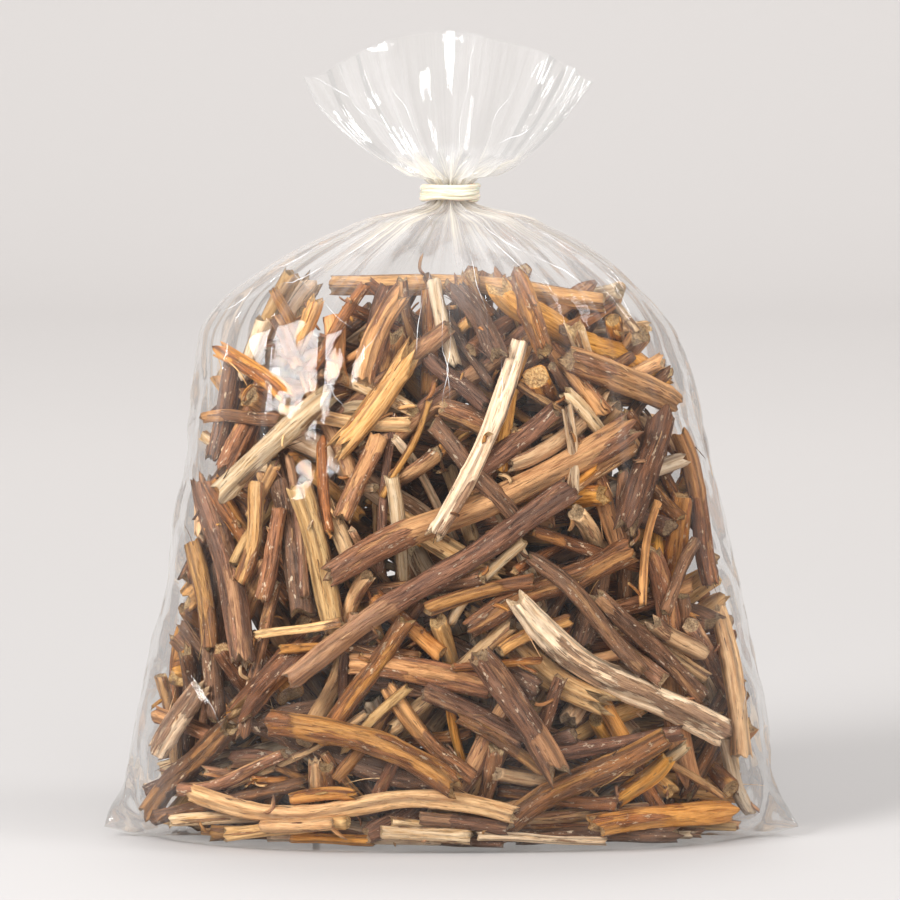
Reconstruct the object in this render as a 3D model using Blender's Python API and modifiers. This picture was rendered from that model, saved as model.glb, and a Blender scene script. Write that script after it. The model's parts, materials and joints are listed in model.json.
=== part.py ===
"""A clear film bag of dried houttuynia root, gathered at the neck and closed with a wound band.

Units are metres, +Z is up, and the origin is on the floor under the middle of the bag. The bag faces -Y.
The film is one open shell: a flat base, a body with a bottom corner drawn out at each side, a pleated shoulder,
a narrow neck and a fan above the band. The cut pieces of root lie inside it. The larger pieces at the front are
objects of their own, and the rest are tangles of several pieces grown into one body where they cross.
"""

import math
import random

import bmesh
import bpy
import numpy as np
from mathutils import Vector, noise

MM = 0.001

# Film: the shell's wall, and how far it is divided around and pleated
FILM_WALL = 0.6 * MM
FILM_SIDES = 40
PLEATS = 10

# Heights that shape the bag
FAN_LOW = 134.0 * MM
FAN_SIDE_TOP = 153.5 * MM
FAN_MIDDLE_TOP = 163.0 * MM

# Film stations from the floor to the fan's side tips, in millimetres:
# height, reach to the left, reach to the right, half depth, pleat height, length of the drawn-out corner
FILM_STATIONS = [
    (0.0, 60.0, 60.0, 22.0, 0.0, 0.0),
    (2.5, 63.5, 63.5, 26.0, 0.0, 6.0),
    (7.0, 66.0, 65.5, 29.0, 0.0, 1.2),
    (16.0, 65.3, 65.0, 31.5, 0.0, 0.0),
    (32.0, 61.8, 62.6, 32.5, 0.0, 0.0),
    (49.0, 58.0, 59.0, 32.0, 0.0, 0.0),
    (66.0, 55.2, 55.0, 30.0, 0.0, 0.0),
    (80.0, 53.0, 51.8, 27.5, 0.1, 0.0),
    (92.0, 51.8, 48.8, 24.5, 0.3, 0.0),
    (102.0, 50.2, 45.2, 21.0, 0.6, 0.0),
    (108.0, 46.5, 41.0, 18.5, 0.9, 0.0),
    (114.0, 39.0, 34.8, 15.5, 1.2, 0.0),
    (119.5, 29.5, 27.5, 12.2, 1.2, 0.0),
    (124.0, 19.0, 18.2, 9.0, 0.8, 0.0),
    (126.2, 9.5, 9.5, 6.2, 0.4, 0.0),
    (127.8, 4.3, 4.3, 4.1, 0.1, 0.0),
    (133.3, 4.1, 4.1, 4.0, 0.1, 0.0),
    (134.0, 8.8, 9.4, 4.8, 0.3, 0.0),
    (137.6, 14.2, 15.2, 6.6, 0.8, 0.0),
    (142.0, 19.8, 19.6, 8.2, 1.3, 0.0),
    (147.0, 24.6, 23.6, 9.5, 1.7, 0.0),
    (153.5, 28.0, 28.0, 10.5, 2.0, 0.0),
]
# Section of the body: how square it is in width and in depth, and the heights between which it turns round
WIDTH_POWER = 2.6
DEPTH_POWER = 1.8
ROUND_FROM = 110.0 * MM
ROUND_TO = 127.0 * MM

# Band around the neck
BAND_BORE = 4.7 * MM
BAND_TURN = 0.7 * MM
BAND_TURNS = 3
BAND_HEIGHT = 130.6 * MM
BAND_STEPS = 20

# Room that the root pieces keep: between each other, to the film, and how much more to its sides and its front
PIECE_GAP = 0.55 * MM
FILM_GAP = 0.5 * MM
SIDE_MARGIN = 1.3
FRONT_MARGIN = 1.2
HEAP_TOP = 112.0 * MM

# Tangles: the height each level starts at in millimetres and how many stand on it, where they start as a share
# of the bag's width and depth, the pieces in each, and how far joined pieces sink into each other
TANGLE_LEVELS = [(14, 4), (38, 4), (64, 3), (88, 3)]
TANGLE_ACROSS = 0.6
TANGLE_DEPTH = 0.35
TANGLE_BACK = 0.22
PIECES_A_TANGLE = 7
SINK = 0.4

# Pieces in a tangle: lengths, radii, slope, lean in depth, and bow and wave as a share of the length
PIECE_LENGTHS = (30.0 * MM, 58.0 * MM)
PIECE_RADII = (1.8 * MM, 2.8 * MM)
PIECE_SLOPE = 1.3
PIECE_LEAN = 0.8
PIECE_BOW = 0.05
PIECE_WAVE = 0.02

# Settling: rounds, rounds between two searches for neighbours, the share of a cut or a step over the film that
# one round takes away, how easily a front piece gives way, and how fast it comes back to its place
SEED = 20
SETTLE_STEPS = 900
SEARCH_EVERY = 10
PART_SHARE = 0.45
INSIDE_SHARE = 0.5
FRONT_GIVES = 0.35
FRONT_RETURN = 0.08
LAYER_DEPTH = 6.0 * MM

# Root surface: rings along a front piece and along a piece in a tangle, its sides (more on a thick front piece),
# and how uneven it is
FRONT_RINGS = 7
TANGLE_RINGS = 5
FEW_SIDES = 6
MORE_SIDES = 8
THICK_RADIUS = 2.3 * MM
SWELLING = 0.16
SWELLING_LENGTH = 9.0 * MM
WRINKLE = 0.18
WRINKLE_LENGTH = 3.0 * MM

# After a union: faces thinner than this are closed up, and what that opens is mended in a few rounds
SLIVER = 0.02 * MM
MEND_ROUNDS = 3

# Finishes: colour, and how rough it is
FINISHES = {
    "umber": (0.105, 0.050, 0.030),
    "russet": (0.215, 0.098, 0.050),
    "amber": (0.480, 0.225, 0.075),
    "straw": (0.560, 0.350, 0.150),
    "bone": (0.640, 0.480, 0.280),
}
TANGLE_FINISHES = ("russet", "amber", "umber", "straw")
ROOT_ROUGHNESS = 0.75
FILM_COLOUR = (0.93, 0.93, 0.92)
BAND_COLOUR = (0.86, 0.80, 0.66)

# Pieces that show at the front, in millimetres from the bag's middle and from the floor:
# name, finish, one end (x, z), other end (x, z), radius, bow, wave, layer behind the film
FRONT_PIECES = [
    ("long_amber", "amber", (-24, 56), (36, 85), 2.8, -1.0, 1.0, 0),
    ("long_striped", "russet", (-32, 35), (24, 73), 2.4, 0.5, 0.5, 0),
    ("bone_right", "bone", (13, 51), (55, 22), 2.8, -3.0, -1.0, 0),
    ("bone_upper_left", "bone", (-46, 71), (-25, 91), 2.4, 0.5, 0.0, 0),
    ("knotty_grey", "bone", (-33, 83), (-5, 65), 2.9, 0.8, 0.5, 1),
    ("bone_centre", "bone", (14, 102), (-3, 64), 1.8, 1.5, 0.0, 0),
    ("left_tall", "russet", (-52, 72), (-41, 38), 2.4, 0.8, 0.0, 0),
    ("left_dark", "umber", (-35, 77), (-29, 47), 2.8, 0.8, 0.5, 1),
    ("straw_front", "straw", (-30, 73), (-23, 44), 2.3, 0.6, 0.0, 0),
    ("straw_back", "straw", (-26, 71), (-19, 57), 1.9, 0.4, 0.0, 1),
    ("straw_mid", "straw", (-13, 68), (10, 55), 2.1, -0.6, 0.0, 1),
    ("right_mid", "russet", (4, 45), (36, 60), 2.4, 0.8, 0.5, 0),
    ("torn_mid", "straw", (4, 48), (30, 30), 2.6, -1.0, 0.5, 1),
    ("upper_right", "russet", (24, 98), (47, 88), 2.8, 1.0, 0.0, 0),
    ("right_upright", "umber", (43, 86), (35, 65), 2.7, 0.6, 0.0, 0),
    ("right_thin", "russet", (24, 84), (34, 60), 1.8, 0.8, 0.5, 1),
    ("low_right", "russet", (11, 5), (43, 23), 2.5, 0.8, 0.8, 0),
    ("low_wavy", "straw", (-52, 11), (13, 9), 1.9, -0.8, -2.4, 0),
    ("amber_arch", "amber", (-36, 26), (1, 14), 2.6, 3.0, 0.0, 0),
    ("corner_root", "umber", (-62, 5), (-44, 25), 2.3, 0.6, 0.5, 0),
    ("grey_knot", "umber", (-42, 28), (-27, 43), 2.7, 0.5, 0.0, 1),
    ("dark_bow", "umber", (-43, 28), (-2, 14), 2.4, -2.4, 0.0, 1),
    ("low_left_bone", "bone", (-49, 14), (-25, 21), 2.1, 0.5, 0.0, 2),
    ("dark_mid", "umber", (6, 40), (21, 17), 2.5, 0.8, 0.0, 0),
    ("small_upright", "amber", (11, 30), (1, 12), 1.9, 0.4, 0.0, 1),
    ("band_mid", "russet", (-20, 38), (8, 33), 2.4, 0.8, 0.0, 1),
    ("band_low", "russet", (-16, 34), (28, 19), 2.1, 0.8, 0.5, 2),
    ("right_long", "russet", (40, 59), (48, 12), 2.3, 0.8, 1.0, 1),
    ("right_dark", "umber", (30, 57), (26, 41), 2.3, 0.4, 0.0, 1),
    ("edge_right_high", "russet", (47, 82), (53, 52), 2.0, 0.8, 0.5, 1),
    ("edge_right_low", "straw", (54, 47), (59, 17), 2.1, 0.8, 0.0, 1),
    ("floor_right", "amber", (29, 5), (57, 6), 2.5, 0.6, 0.0, 0),
    ("top_amber", "amber", (-10, 111), (-17, 94), 2.3, -1.0, 0.0, 0),
    ("top_straw", "straw", (-8, 99), (-22, 81), 2.4, 0.8, 0.0, 1),
    ("upper_band", "bone", (-21, 87), (12, 84), 2.1, 0.8, 0.0, 2),
    ("upper_long", "russet", (-2, 89), (20, 75), 2.2, 0.8, 0.5, 1),
    ("left_top_knob", "amber", (-46, 99), (-32, 90), 1.9, 0.5, 0.0, 0),
    ("left_top_dark", "umber", (-44, 96), (-47, 77), 2.2, 0.5, 0.0, 1),
    ("left_top_russet", "russet", (-37, 94), (-45, 75), 2.3, 0.5, 0.0, 1),
    ("left_slant", "umber", (-44, 69), (-29, 54), 2.5, 0.8, 0.0, 2),
    ("left_edge_amber", "amber", (-52, 60), (-48, 40), 1.9, 0.5, 0.0, 1),
    ("left_low_bone", "bone", (-59, 18), (-50, 32), 2.2, 0.3, 0.0, 0),
    ("top_right_amber", "amber", (33, 109), (21, 98), 2.1, 0.5, 0.0, 1),
    ("top_mid_umber", "umber", (1, 113), (10, 99), 1.9, 0.5, 0.0, 0),
]


# Shares of a piece's length where its centre line is tested against the others and against the film
SHARES = [0.0, 0.25, 0.5, 0.75, 1.0]


def film_at(height):
    """Reach to the left, reach to the right and half depth of the film at each height."""
    stations = np.array(FILM_STATIONS) * MM
    return [np.interp(height, stations[:, 0], stations[:, column]) for column in (1, 2, 3)]


def dot(a, b):
    return a[..., 0] * b[..., 0] + a[..., 1] * b[..., 1] + a[..., 2] * b[..., 2]


def unit(a):
    return a / np.sqrt(np.maximum(dot(a, a), 1e-18))[..., None]


class Heap:
    """The root pieces. Each is a line from start to end with a bow and a wave across it."""

    def __init__(self):
        self.start, self.end, self.shape, self.parent, self.names, self.anchored = [], [], [], [], [], []

    def add(self, name, start, end, radius, bow, wave, turn, parent=-1, anchored=False):
        self.start.append(start)
        self.end.append(end)
        self.shape.append((radius, bow, wave, turn))
        self.parent.append(parent)
        self.names.append(name)
        self.anchored.append(anchored)
        return len(self.names) - 1

    def freeze(self):
        """Turns the lists into arrays, and keeps each piece's length and first place."""
        self.start, self.end = np.array(self.start), np.array(self.end)
        self.radius, self.bow, self.wave, self.turn = np.array(self.shape).T
        self.parent, self.anchored = np.array(self.parent), np.array(self.anchored)
        self.length = np.sqrt(dot(self.end - self.start, self.end - self.start))
        self.first_start, self.first_end = self.start.copy(), self.end.copy()
        self.cosine = np.array([math.cos(turn) for turn in self.turn])
        self.sine = np.array([math.sin(turn) for turn in self.turn])

    def points(self, shares):
        """Points of every centre line at the given shares of its length: pieces x shares x 3."""
        along = self.end - self.start
        axis = unit(along)
        side = unit(np.stack([-axis[:, 2], 0 * axis[:, 1], axis[:, 0]], axis=1))
        back = np.cross(axis, side)
        across = side * self.cosine[:, None] + back * self.sine[:, None]
        bowed = np.array([4 * t * (1 - t) for t in shares])
        waved = np.array([math.sin(2 * math.pi * t) for t in shares])
        offset = self.bow[:, None] * bowed + self.wave[:, None] * waved
        return (
            self.start[:, None]
            + along[:, None] * np.array(shares)[None, :, None]
            + across[:, None] * offset[:, :, None]
        )


def near_pairs(heap):
    """Pairs of pieces that are close enough to meet."""
    middle = (heap.start + heap.end) / 2
    first, second = np.triu_indices(len(middle), 1)
    apart = middle[first] - middle[second]
    reach = (heap.length[first] + heap.length[second]) / 2 + 10 * MM
    keep = dot(apart, apart) < reach**2
    return first[keep], second[keep]


def nearest(heap, first, second):
    """For each pair: shares along both where they come nearest, the way from second to first, and the distance."""
    points = heap.points(SHARES)
    spans = len(SHARES) - 1
    best = np.full(len(first), np.inf)
    share_a, share_b = np.zeros(len(first)), np.zeros(len(first))
    way = np.zeros((len(first), 3))
    for i in range(spans):
        p, u = points[first, i], points[first, i + 1] - points[first, i]
        for j in range(spans):
            q, v = points[second, j], points[second, j + 1] - points[second, j]
            w = p - q
            a, b, c, d, e = dot(u, u), dot(u, v), dot(v, v), dot(u, w), dot(v, w)
            s = np.clip((b * e - c * d) / np.maximum(a * c - b * b, 1e-14), 0, 1)
            t = np.clip((b * s + e) / c, 0, 1)
            s = np.clip((b * t - d) / a, 0, 1)
            gap = w + u * s[:, None] - v * t[:, None]
            far = dot(gap, gap)
            closer = far < best
            best = np.where(closer, far, best)
            share_a = np.where(closer, (i + s) / spans, share_a)
            share_b = np.where(closer, (j + t) / spans, share_b)
            way = np.where(closer[:, None], gap, way)
    distance = np.sqrt(best)
    lost = distance < 1e-6
    way[lost] = (0.0, 1e-6, 0.0)
    return share_a, share_b, unit(way), distance


def shift(heap, which, share, move):
    """Moves pieces so that the point at share moves by move."""
    lean = (1 - share) ** 2 + share**2
    np.add.at(heap.start, which, move * ((1 - share) / lean)[:, None])
    np.add.at(heap.end, which, move * (share / lean)[:, None])


def part_pieces(heap, first, second):
    """Pushes pieces that cut each other apart, and pulls those of a tangle together."""
    share_a, share_b, way, distance = nearest(heap, first, second)
    joined = (heap.parent[first] == second) | (heap.parent[second] == first)
    radii = heap.radius[first] + heap.radius[second]
    wanted = np.where(joined, SINK * radii, radii + PIECE_GAP)
    short = wanted - distance
    short = np.where(joined, short, np.maximum(short, 0))
    active = np.abs(short) > 1e-7
    first, second, short = first[active], second[active], short[active]
    share_a, share_b, way = share_a[active], share_b[active], way[active]
    weight_a = np.where(heap.anchored[first], FRONT_GIVES, 1.0)
    weight_b = np.where(heap.anchored[second], FRONT_GIVES, 1.0)
    total = weight_a + weight_b
    step = PART_SHARE * short[:, None] * way
    shift(heap, first, share_a, step * (weight_a / total)[:, None])
    shift(heap, second, share_b, -step * (weight_b / total)[:, None])


def keep_inside(heap):
    """Moves the points that are outside the film, or too near to it, back in."""
    points = heap.points(SHARES)
    margin = heap.radius + FILM_WALL + FILM_GAP
    for column, share in enumerate(SHARES):
        point = points[:, column]
        left, right, depth = film_at(point[:, 2])
        width = np.maximum(np.where(point[:, 0] < 0, left, right) - SIDE_MARGIN * margin, 1 * MM)
        depth = np.maximum(depth - FRONT_MARGIN * margin, 1 * MM)
        level = np.abs(point[:, 0] / width) ** WIDTH_POWER + np.abs(point[:, 1] / depth) ** DEPTH_POWER
        scale = np.where(level > 1, level ** (-1 / DEPTH_POWER), 1.0)
        move = np.zeros_like(point)
        move[:, :2] = point[:, :2] * (scale - 1)[:, None]
        move[:, 2] = np.maximum(margin - point[:, 2], 0) - np.maximum(point[:, 2] - HEAP_TOP, 0)
        share_of_all = np.full(len(point), share)
        shift(heap, np.arange(len(point)), share_of_all, INSIDE_SHARE * move)


def hold_shape(heap):
    """Gives each piece its own length back, and draws the anchored ones towards their place in the front view."""
    for here, first in ((heap.start, heap.first_start), (heap.end, heap.first_end)):
        pull = FRONT_RETURN * (first - here) * heap.anchored[:, None]
        here[:, 0] += pull[:, 0]
        here[:, 2] += pull[:, 2]
    middle = (heap.start + heap.end) / 2
    half = unit(heap.end - heap.start) * (heap.length / 2)[:, None]
    heap.start, heap.end = np.round(middle - half, 9), np.round(middle + half, 9)


def front_place(x, z, radius, layer):
    """The point behind the front film at x and z, in that layer."""
    left, right, depth = film_at(z)
    width = right if x > 0 else left
    level = max(1 - abs(x / width) ** WIDTH_POWER, 0.02)
    return (x, -depth * level ** (1 / DEPTH_POWER) + radius + layer * LAYER_DEPTH + FILM_WALL, z)


def scattered_piece(draw, centre):
    """Ends and shape of a piece with its middle at centre, lying more or less in a plane that faces the front."""
    length = draw.uniform(*PIECE_LENGTHS)
    slope = draw.uniform(-PIECE_SLOPE, PIECE_SLOPE)
    lean = draw.uniform(-PIECE_LEAN, PIECE_LEAN)
    way = Vector((math.cos(slope), lean, math.sin(slope))).normalized() * (length / 2)
    radius = draw.uniform(*PIECE_RADII)
    bow = draw.uniform(-PIECE_BOW, PIECE_BOW) * length
    wave = draw.uniform(-PIECE_WAVE, PIECE_WAVE) * length
    turn = draw.uniform(0, 2 * math.pi)
    return tuple(centre - way), tuple(centre + way), radius, bow, wave, turn


def tangle_seeds(draw):
    """One starting place for each tangle, spread over the back, the sides and the middle of the bag."""
    seeds = []
    for level, (height, around) in enumerate(TANGLE_LEVELS):
        left, right, depth = film_at(height * MM)
        for k in range(around):
            angle = 2 * math.pi * (k + 0.5 * (level % 2)) / around + math.pi / 4
            x = TANGLE_ACROSS * (left + right) / 2 * math.cos(angle)
            y = depth * (TANGLE_DEPTH * math.sin(angle) + TANGLE_BACK)
            jitter = draw.uniform(-3, 3)
            seeds.append(Vector((x, y, (height + jitter) * MM)))
    return seeds


def lay_out():
    """Places every piece of root and settles the heap so that no two pieces cut each other."""
    draw = random.Random(SEED)
    heap = Heap()
    for name, _, (x1, z1), (x2, z2), radius, bow, wave, layer in FRONT_PIECES:
        ends = [front_place(x * MM, z * MM, radius * MM, layer) for x, z in ((x1, z1), (x2, z2))]
        heap.add(name, ends[0], ends[1], radius * MM, bow * MM, wave * MM, 0.0, anchored=True)
    for k, seed in enumerate(tangle_seeds(draw)):
        members = []
        for _ in range(PIECES_A_TANGLE):
            parent, centre = -1, seed
            if members:
                parent = draw.choice(members[-3:])
                share = draw.uniform(0.1, 0.9)
                start, end = Vector(heap.start[parent]), Vector(heap.end[parent])
                centre = start.lerp(end, share)
            piece = scattered_piece(draw, centre)
            members.append(heap.add(f"tangle_{k + 1:02d}", *piece, parent=parent))
    heap.freeze()
    for step in range(SETTLE_STEPS):
        if step % SEARCH_EVERY == 0:
            pairs = near_pairs(heap)
        part_pieces(heap, *pairs)
        keep_inside(heap)
        hold_shape(heap)
    return heap


def material(name, colour, roughness, alpha=1.0):
    """A Principled material."""
    made = bpy.data.materials.new(name)
    made.use_nodes = True
    shader = made.node_tree.nodes["Principled BSDF"]
    shader.inputs["Base Color"].default_value = (*colour, 1.0)
    shader.inputs["Roughness"].default_value = roughness
    shader.inputs["Metallic"].default_value = 0.0
    shader.inputs["Alpha"].default_value = alpha
    return made


def add_object(name, mesh, group, finish):
    made = bpy.data.objects.new(name, mesh)
    group.objects.link(made)
    mesh.materials.clear()
    mesh.materials.append(finish)
    return made


def film_ring(station):
    """Points of one horizontal ring of the film, from +X round towards +Y."""
    height, left, right, depth, pleat, corner = (value * MM for value in station)
    rounded = min(max((height - ROUND_FROM) / (ROUND_TO - ROUND_FROM), 0), 1)
    width_power = WIDTH_POWER + (2 - WIDTH_POWER) * rounded
    depth_power = DEPTH_POWER + (2 - DEPTH_POWER) * rounded
    points = []
    for k in range(FILM_SIDES):
        angle = 2 * math.pi * k / FILM_SIDES
        cosine, sine = math.cos(angle), math.sin(angle)
        x = math.copysign(abs(cosine) ** (2 / width_power), cosine) * (right if cosine > 0 else left)
        y = math.copysign(abs(sine) ** (2 / depth_power), sine) * depth
        out = Vector((x, y)).normalized()
        fold = pleat * math.cos(PLEATS * angle)
        at_side = k % (FILM_SIDES // 2) == 0
        x += out.x * fold + (math.copysign(corner, cosine) if at_side else 0)
        y += out.y * fold
        z = height
        if height > FAN_LOW:
            rise = (FAN_MIDDLE_TOP - FAN_LOW) / (FAN_SIDE_TOP - FAN_LOW) - 1
            z = FAN_LOW + (height - FAN_LOW) * (1 + rise * (1 - cosine**2))
        points.append((x, y, z))
    return points


def make_film(group):
    """The bag: an open sheet from the middle of the base to the fan's rim, given its wall on the inside."""
    sheet = bmesh.new()
    rings = [[sheet.verts.new(point) for point in film_ring(station)] for station in FILM_STATIONS]
    middle = sheet.verts.new((0, 0, 0))
    for k in range(FILM_SIDES):
        following = (k + 1) % FILM_SIDES
        sheet.faces.new((middle, rings[0][following], rings[0][k]))
        for low, high in zip(rings, rings[1:]):
            sheet.faces.new((low[k], low[following], high[following], high[k]))
    mesh = bpy.data.meshes.new("film_bag")
    sheet.to_mesh(mesh)
    sheet.free()
    film = add_object("film_bag", mesh, group, material("film", FILM_COLOUR, 0.12, 0.25))
    wall = film.modifiers.new("wall", "SOLIDIFY")
    wall.thickness = FILM_WALL
    wall.offset = -1
    mesh.shade_smooth()


def make_band(group):
    """The band: a few turns wound flat round the neck, as one turned ring with a groove between turns."""
    low = BAND_HEIGHT - BAND_TURNS * BAND_TURN
    outline = []
    for turn in reversed(range(BAND_TURNS)):
        centre = low + (2 * turn + 1) * BAND_TURN
        for angle in (60, 20, -20, -60):
            bulge = BAND_TURN * math.cos(math.radians(angle))
            outline.append((BAND_BORE + BAND_TURN + bulge, 0, centre + BAND_TURN * math.sin(math.radians(angle))))
    outline.append((BAND_BORE, 0, low))
    outline.append((BAND_BORE, 0, low + 2 * BAND_TURNS * BAND_TURN))
    mesh = bpy.data.meshes.new("neck_band")
    count = len(outline)
    mesh.from_pydata(outline, [(i, (i + 1) % count) for i in range(count)], [])
    band = add_object("neck_band", mesh, group, material("band", BAND_COLOUR, 0.45))
    screw = band.modifiers.new("turn", "SCREW")
    screw.steps = screw.render_steps = BAND_STEPS
    screw.use_merge_vertices = True
    screw.merge_threshold = 0.01 * MM
    screw.use_smooth_shade = True


def piece_mesh(name, line, radius, sides):
    """One piece of root along its centre line: a tube with swellings, flat cut ends and a wrinkled side."""
    curve = bpy.data.curves.new(name, "CURVE")
    curve.dimensions = "3D"
    curve.bevel_depth = radius
    curve.bevel_resolution = (sides - 4) // 2
    curve.use_fill_caps = True
    spline = curve.splines.new("POLY")
    spline.points.add(len(line) - 1)
    for point, place in zip(spline.points, line):
        swelling = noise.noise(Vector(place) / SWELLING_LENGTH)
        point.co = (*place, 1.0)
        point.radius = 1 - SWELLING * (0.5 + 0.5 * swelling)
    guide = bpy.data.objects.new(name + "_guide", curve)
    bpy.context.scene.collection.objects.link(guide)
    graph = bpy.context.evaluated_depsgraph_get()
    mesh = bpy.data.meshes.new_from_object(guide.evaluated_get(graph))
    bpy.data.objects.remove(guide)
    welded = bmesh.new()
    welded.from_mesh(mesh)
    bmesh.ops.remove_doubles(welded, verts=welded.verts, dist=0.001 * MM)
    bmesh.ops.recalc_face_normals(welded, faces=welded.faces)
    for vertex in welded.verts:
        crease = abs(noise.noise(vertex.co / WRINKLE_LENGTH))
        vertex.co -= vertex.normal * (WRINKLE * radius * crease)
    welded.to_mesh(mesh)
    welded.free()
    mesh.shade_smooth()
    return mesh


def mend(mesh):
    """Closes up the needle-thin faces that a union leaves where two sides nearly coincide, and what they open."""
    tidy = bmesh.new()
    tidy.from_mesh(mesh)
    bmesh.ops.triangulate(tidy, faces=tidy.faces)
    bmesh.ops.remove_doubles(tidy, verts=tidy.verts, dist=SLIVER)
    bmesh.ops.dissolve_degenerate(tidy, edges=tidy.edges, dist=SLIVER)
    for _ in range(MEND_ROUNDS):
        crowded = [edge for edge in tidy.edges if len(edge.link_faces) > 2]
        doubled = {min(edge.link_faces, key=lambda face: face.calc_area()) for edge in crowded}
        bmesh.ops.delete(tidy, geom=sorted(doubled, key=lambda face: face.index), context="FACES")
        open_edges = [edge for edge in tidy.edges if len(edge.link_faces) == 1]
        bmesh.ops.holes_fill(tidy, edges=open_edges, sides=0)
        bmesh.ops.triangulate(tidy, faces=tidy.faces)
    tidy.to_mesh(mesh)
    tidy.free()


def fuse(first, others):
    """One Boolean union of the first object with the others, applied. The others are removed."""
    tools = bpy.data.collections.new(first.name + "_pieces")
    bpy.context.scene.collection.children.link(tools)
    for other in others:
        tools.objects.link(other)
    union = first.modifiers.new("union", "BOOLEAN")
    union.operation = "UNION"
    union.operand_type = "COLLECTION"
    union.collection = tools
    union.solver = "EXACT"
    graph = bpy.context.evaluated_depsgraph_get()
    joined = bpy.data.meshes.new_from_object(first.evaluated_get(graph))
    mend(joined)
    first.modifiers.clear()
    first.data = joined
    for other in others:
        bpy.data.objects.remove(other)
    bpy.data.collections.remove(tools)


def make_roots(group):
    """Every piece of root, each front piece as an object of its own and each tangle as one fused body."""
    heap = lay_out()
    finishes = {name: material(name, colour, ROOT_ROUGHNESS) for name, colour in FINISHES.items()}
    finish_of = {piece[0]: piece[1] for piece in FRONT_PIECES}
    tangles = sum(around for _, around in TANGLE_LEVELS)
    for k in range(tangles):
        finish_of[f"tangle_{k + 1:02d}"] = TANGLE_FINISHES[k % len(TANGLE_FINISHES)]
    lines = {
        rings: heap.points([k / (rings - 1) for k in range(rings)]) for rings in (FRONT_RINGS, TANGLE_RINGS)
    }
    members = {}
    for index, name in enumerate(heap.names):
        at_front = heap.anchored[index]
        line = lines[FRONT_RINGS if at_front else TANGLE_RINGS][index]
        sides = MORE_SIDES if at_front and heap.radius[index] > THICK_RADIUS else FEW_SIDES
        mesh = piece_mesh(name, line, heap.radius[index], sides)
        made = add_object(f"piece_{index}", mesh, group, finishes[finish_of[name]])
        members.setdefault(name, []).append(made)
    for name, pieces in members.items():
        if len(pieces) > 1:
            fuse(pieces[0], pieces[1:])
        pieces[0].name = f"root_{name}"


def main():
    for old in list(bpy.data.objects):
        bpy.data.objects.remove(old)
    group = bpy.data.collections.new("dried_houttuynia_root_bag")
    bpy.context.scene.collection.children.link(group)
    make_film(group)
    make_band(group)
    make_roots(group)


main()
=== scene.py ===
"""Looks of the clear bag of dried houttuynia root: fine roots, creased film, a wound band and soft light.

The layout of the roots and the film's stations repeat those of the part's source, so every fine piece lies
where the solid that it stands for lies.
"""

import json
import math
import random

import bpy
import numpy as np
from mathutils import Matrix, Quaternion, Vector

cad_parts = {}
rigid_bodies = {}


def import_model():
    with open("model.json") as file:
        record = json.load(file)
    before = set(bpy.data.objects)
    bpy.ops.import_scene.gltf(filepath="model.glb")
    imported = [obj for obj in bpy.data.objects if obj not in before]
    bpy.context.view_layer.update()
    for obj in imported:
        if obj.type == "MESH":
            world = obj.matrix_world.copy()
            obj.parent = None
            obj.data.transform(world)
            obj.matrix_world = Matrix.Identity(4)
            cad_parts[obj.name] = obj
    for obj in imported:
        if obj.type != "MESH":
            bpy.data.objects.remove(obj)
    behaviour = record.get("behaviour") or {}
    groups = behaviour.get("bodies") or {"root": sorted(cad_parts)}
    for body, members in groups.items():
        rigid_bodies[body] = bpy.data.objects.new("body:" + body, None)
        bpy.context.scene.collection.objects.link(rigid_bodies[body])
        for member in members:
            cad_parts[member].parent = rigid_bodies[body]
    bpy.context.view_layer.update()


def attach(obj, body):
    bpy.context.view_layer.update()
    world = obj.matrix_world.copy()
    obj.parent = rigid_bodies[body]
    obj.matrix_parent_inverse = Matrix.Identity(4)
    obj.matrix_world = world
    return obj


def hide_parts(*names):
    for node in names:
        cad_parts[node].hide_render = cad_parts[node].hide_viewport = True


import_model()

MM = 0.001

FILM_WALL = 0.6 * MM

# Heights that shape the bag
FAN_LOW = 134.0 * MM
FAN_SIDE_TOP = 153.5 * MM
FAN_MIDDLE_TOP = 163.0 * MM

# Film stations from the floor to the fan's side tips, in millimetres:
# height, reach to the left, reach to the right, half depth, pleat height, length of the drawn-out corner
FILM_STATIONS = [
    (0.0, 60.0, 60.0, 22.0, 0.0, 0.0),
    (2.5, 63.5, 63.5, 26.0, 0.0, 6.0),
    (7.0, 66.0, 65.5, 29.0, 0.0, 1.2),
    (16.0, 65.3, 65.0, 31.5, 0.0, 0.0),
    (32.0, 61.8, 62.6, 32.5, 0.0, 0.0),
    (49.0, 58.0, 59.0, 32.0, 0.0, 0.0),
    (66.0, 55.2, 55.0, 30.0, 0.0, 0.0),
    (80.0, 53.0, 51.8, 27.5, 0.1, 0.0),
    (92.0, 51.8, 48.8, 24.5, 0.3, 0.0),
    (102.0, 50.2, 45.2, 21.0, 0.6, 0.0),
    (108.0, 46.5, 41.0, 18.5, 0.9, 0.0),
    (114.0, 39.0, 34.8, 15.5, 1.2, 0.0),
    (119.5, 29.5, 27.5, 12.2, 1.2, 0.0),
    (124.0, 19.0, 18.2, 9.0, 0.8, 0.0),
    (126.2, 9.5, 9.5, 6.2, 0.4, 0.0),
    (127.8, 4.3, 4.3, 4.1, 0.1, 0.0),
    (133.3, 4.1, 4.1, 4.0, 0.1, 0.0),
    (134.0, 8.8, 9.4, 4.8, 0.3, 0.0),
    (137.6, 14.2, 15.2, 6.6, 0.8, 0.0),
    (142.0, 19.8, 19.6, 8.2, 1.3, 0.0),
    (147.0, 24.6, 23.6, 9.5, 1.7, 0.0),
    (153.5, 28.0, 28.0, 10.5, 2.0, 0.0),
]
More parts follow.
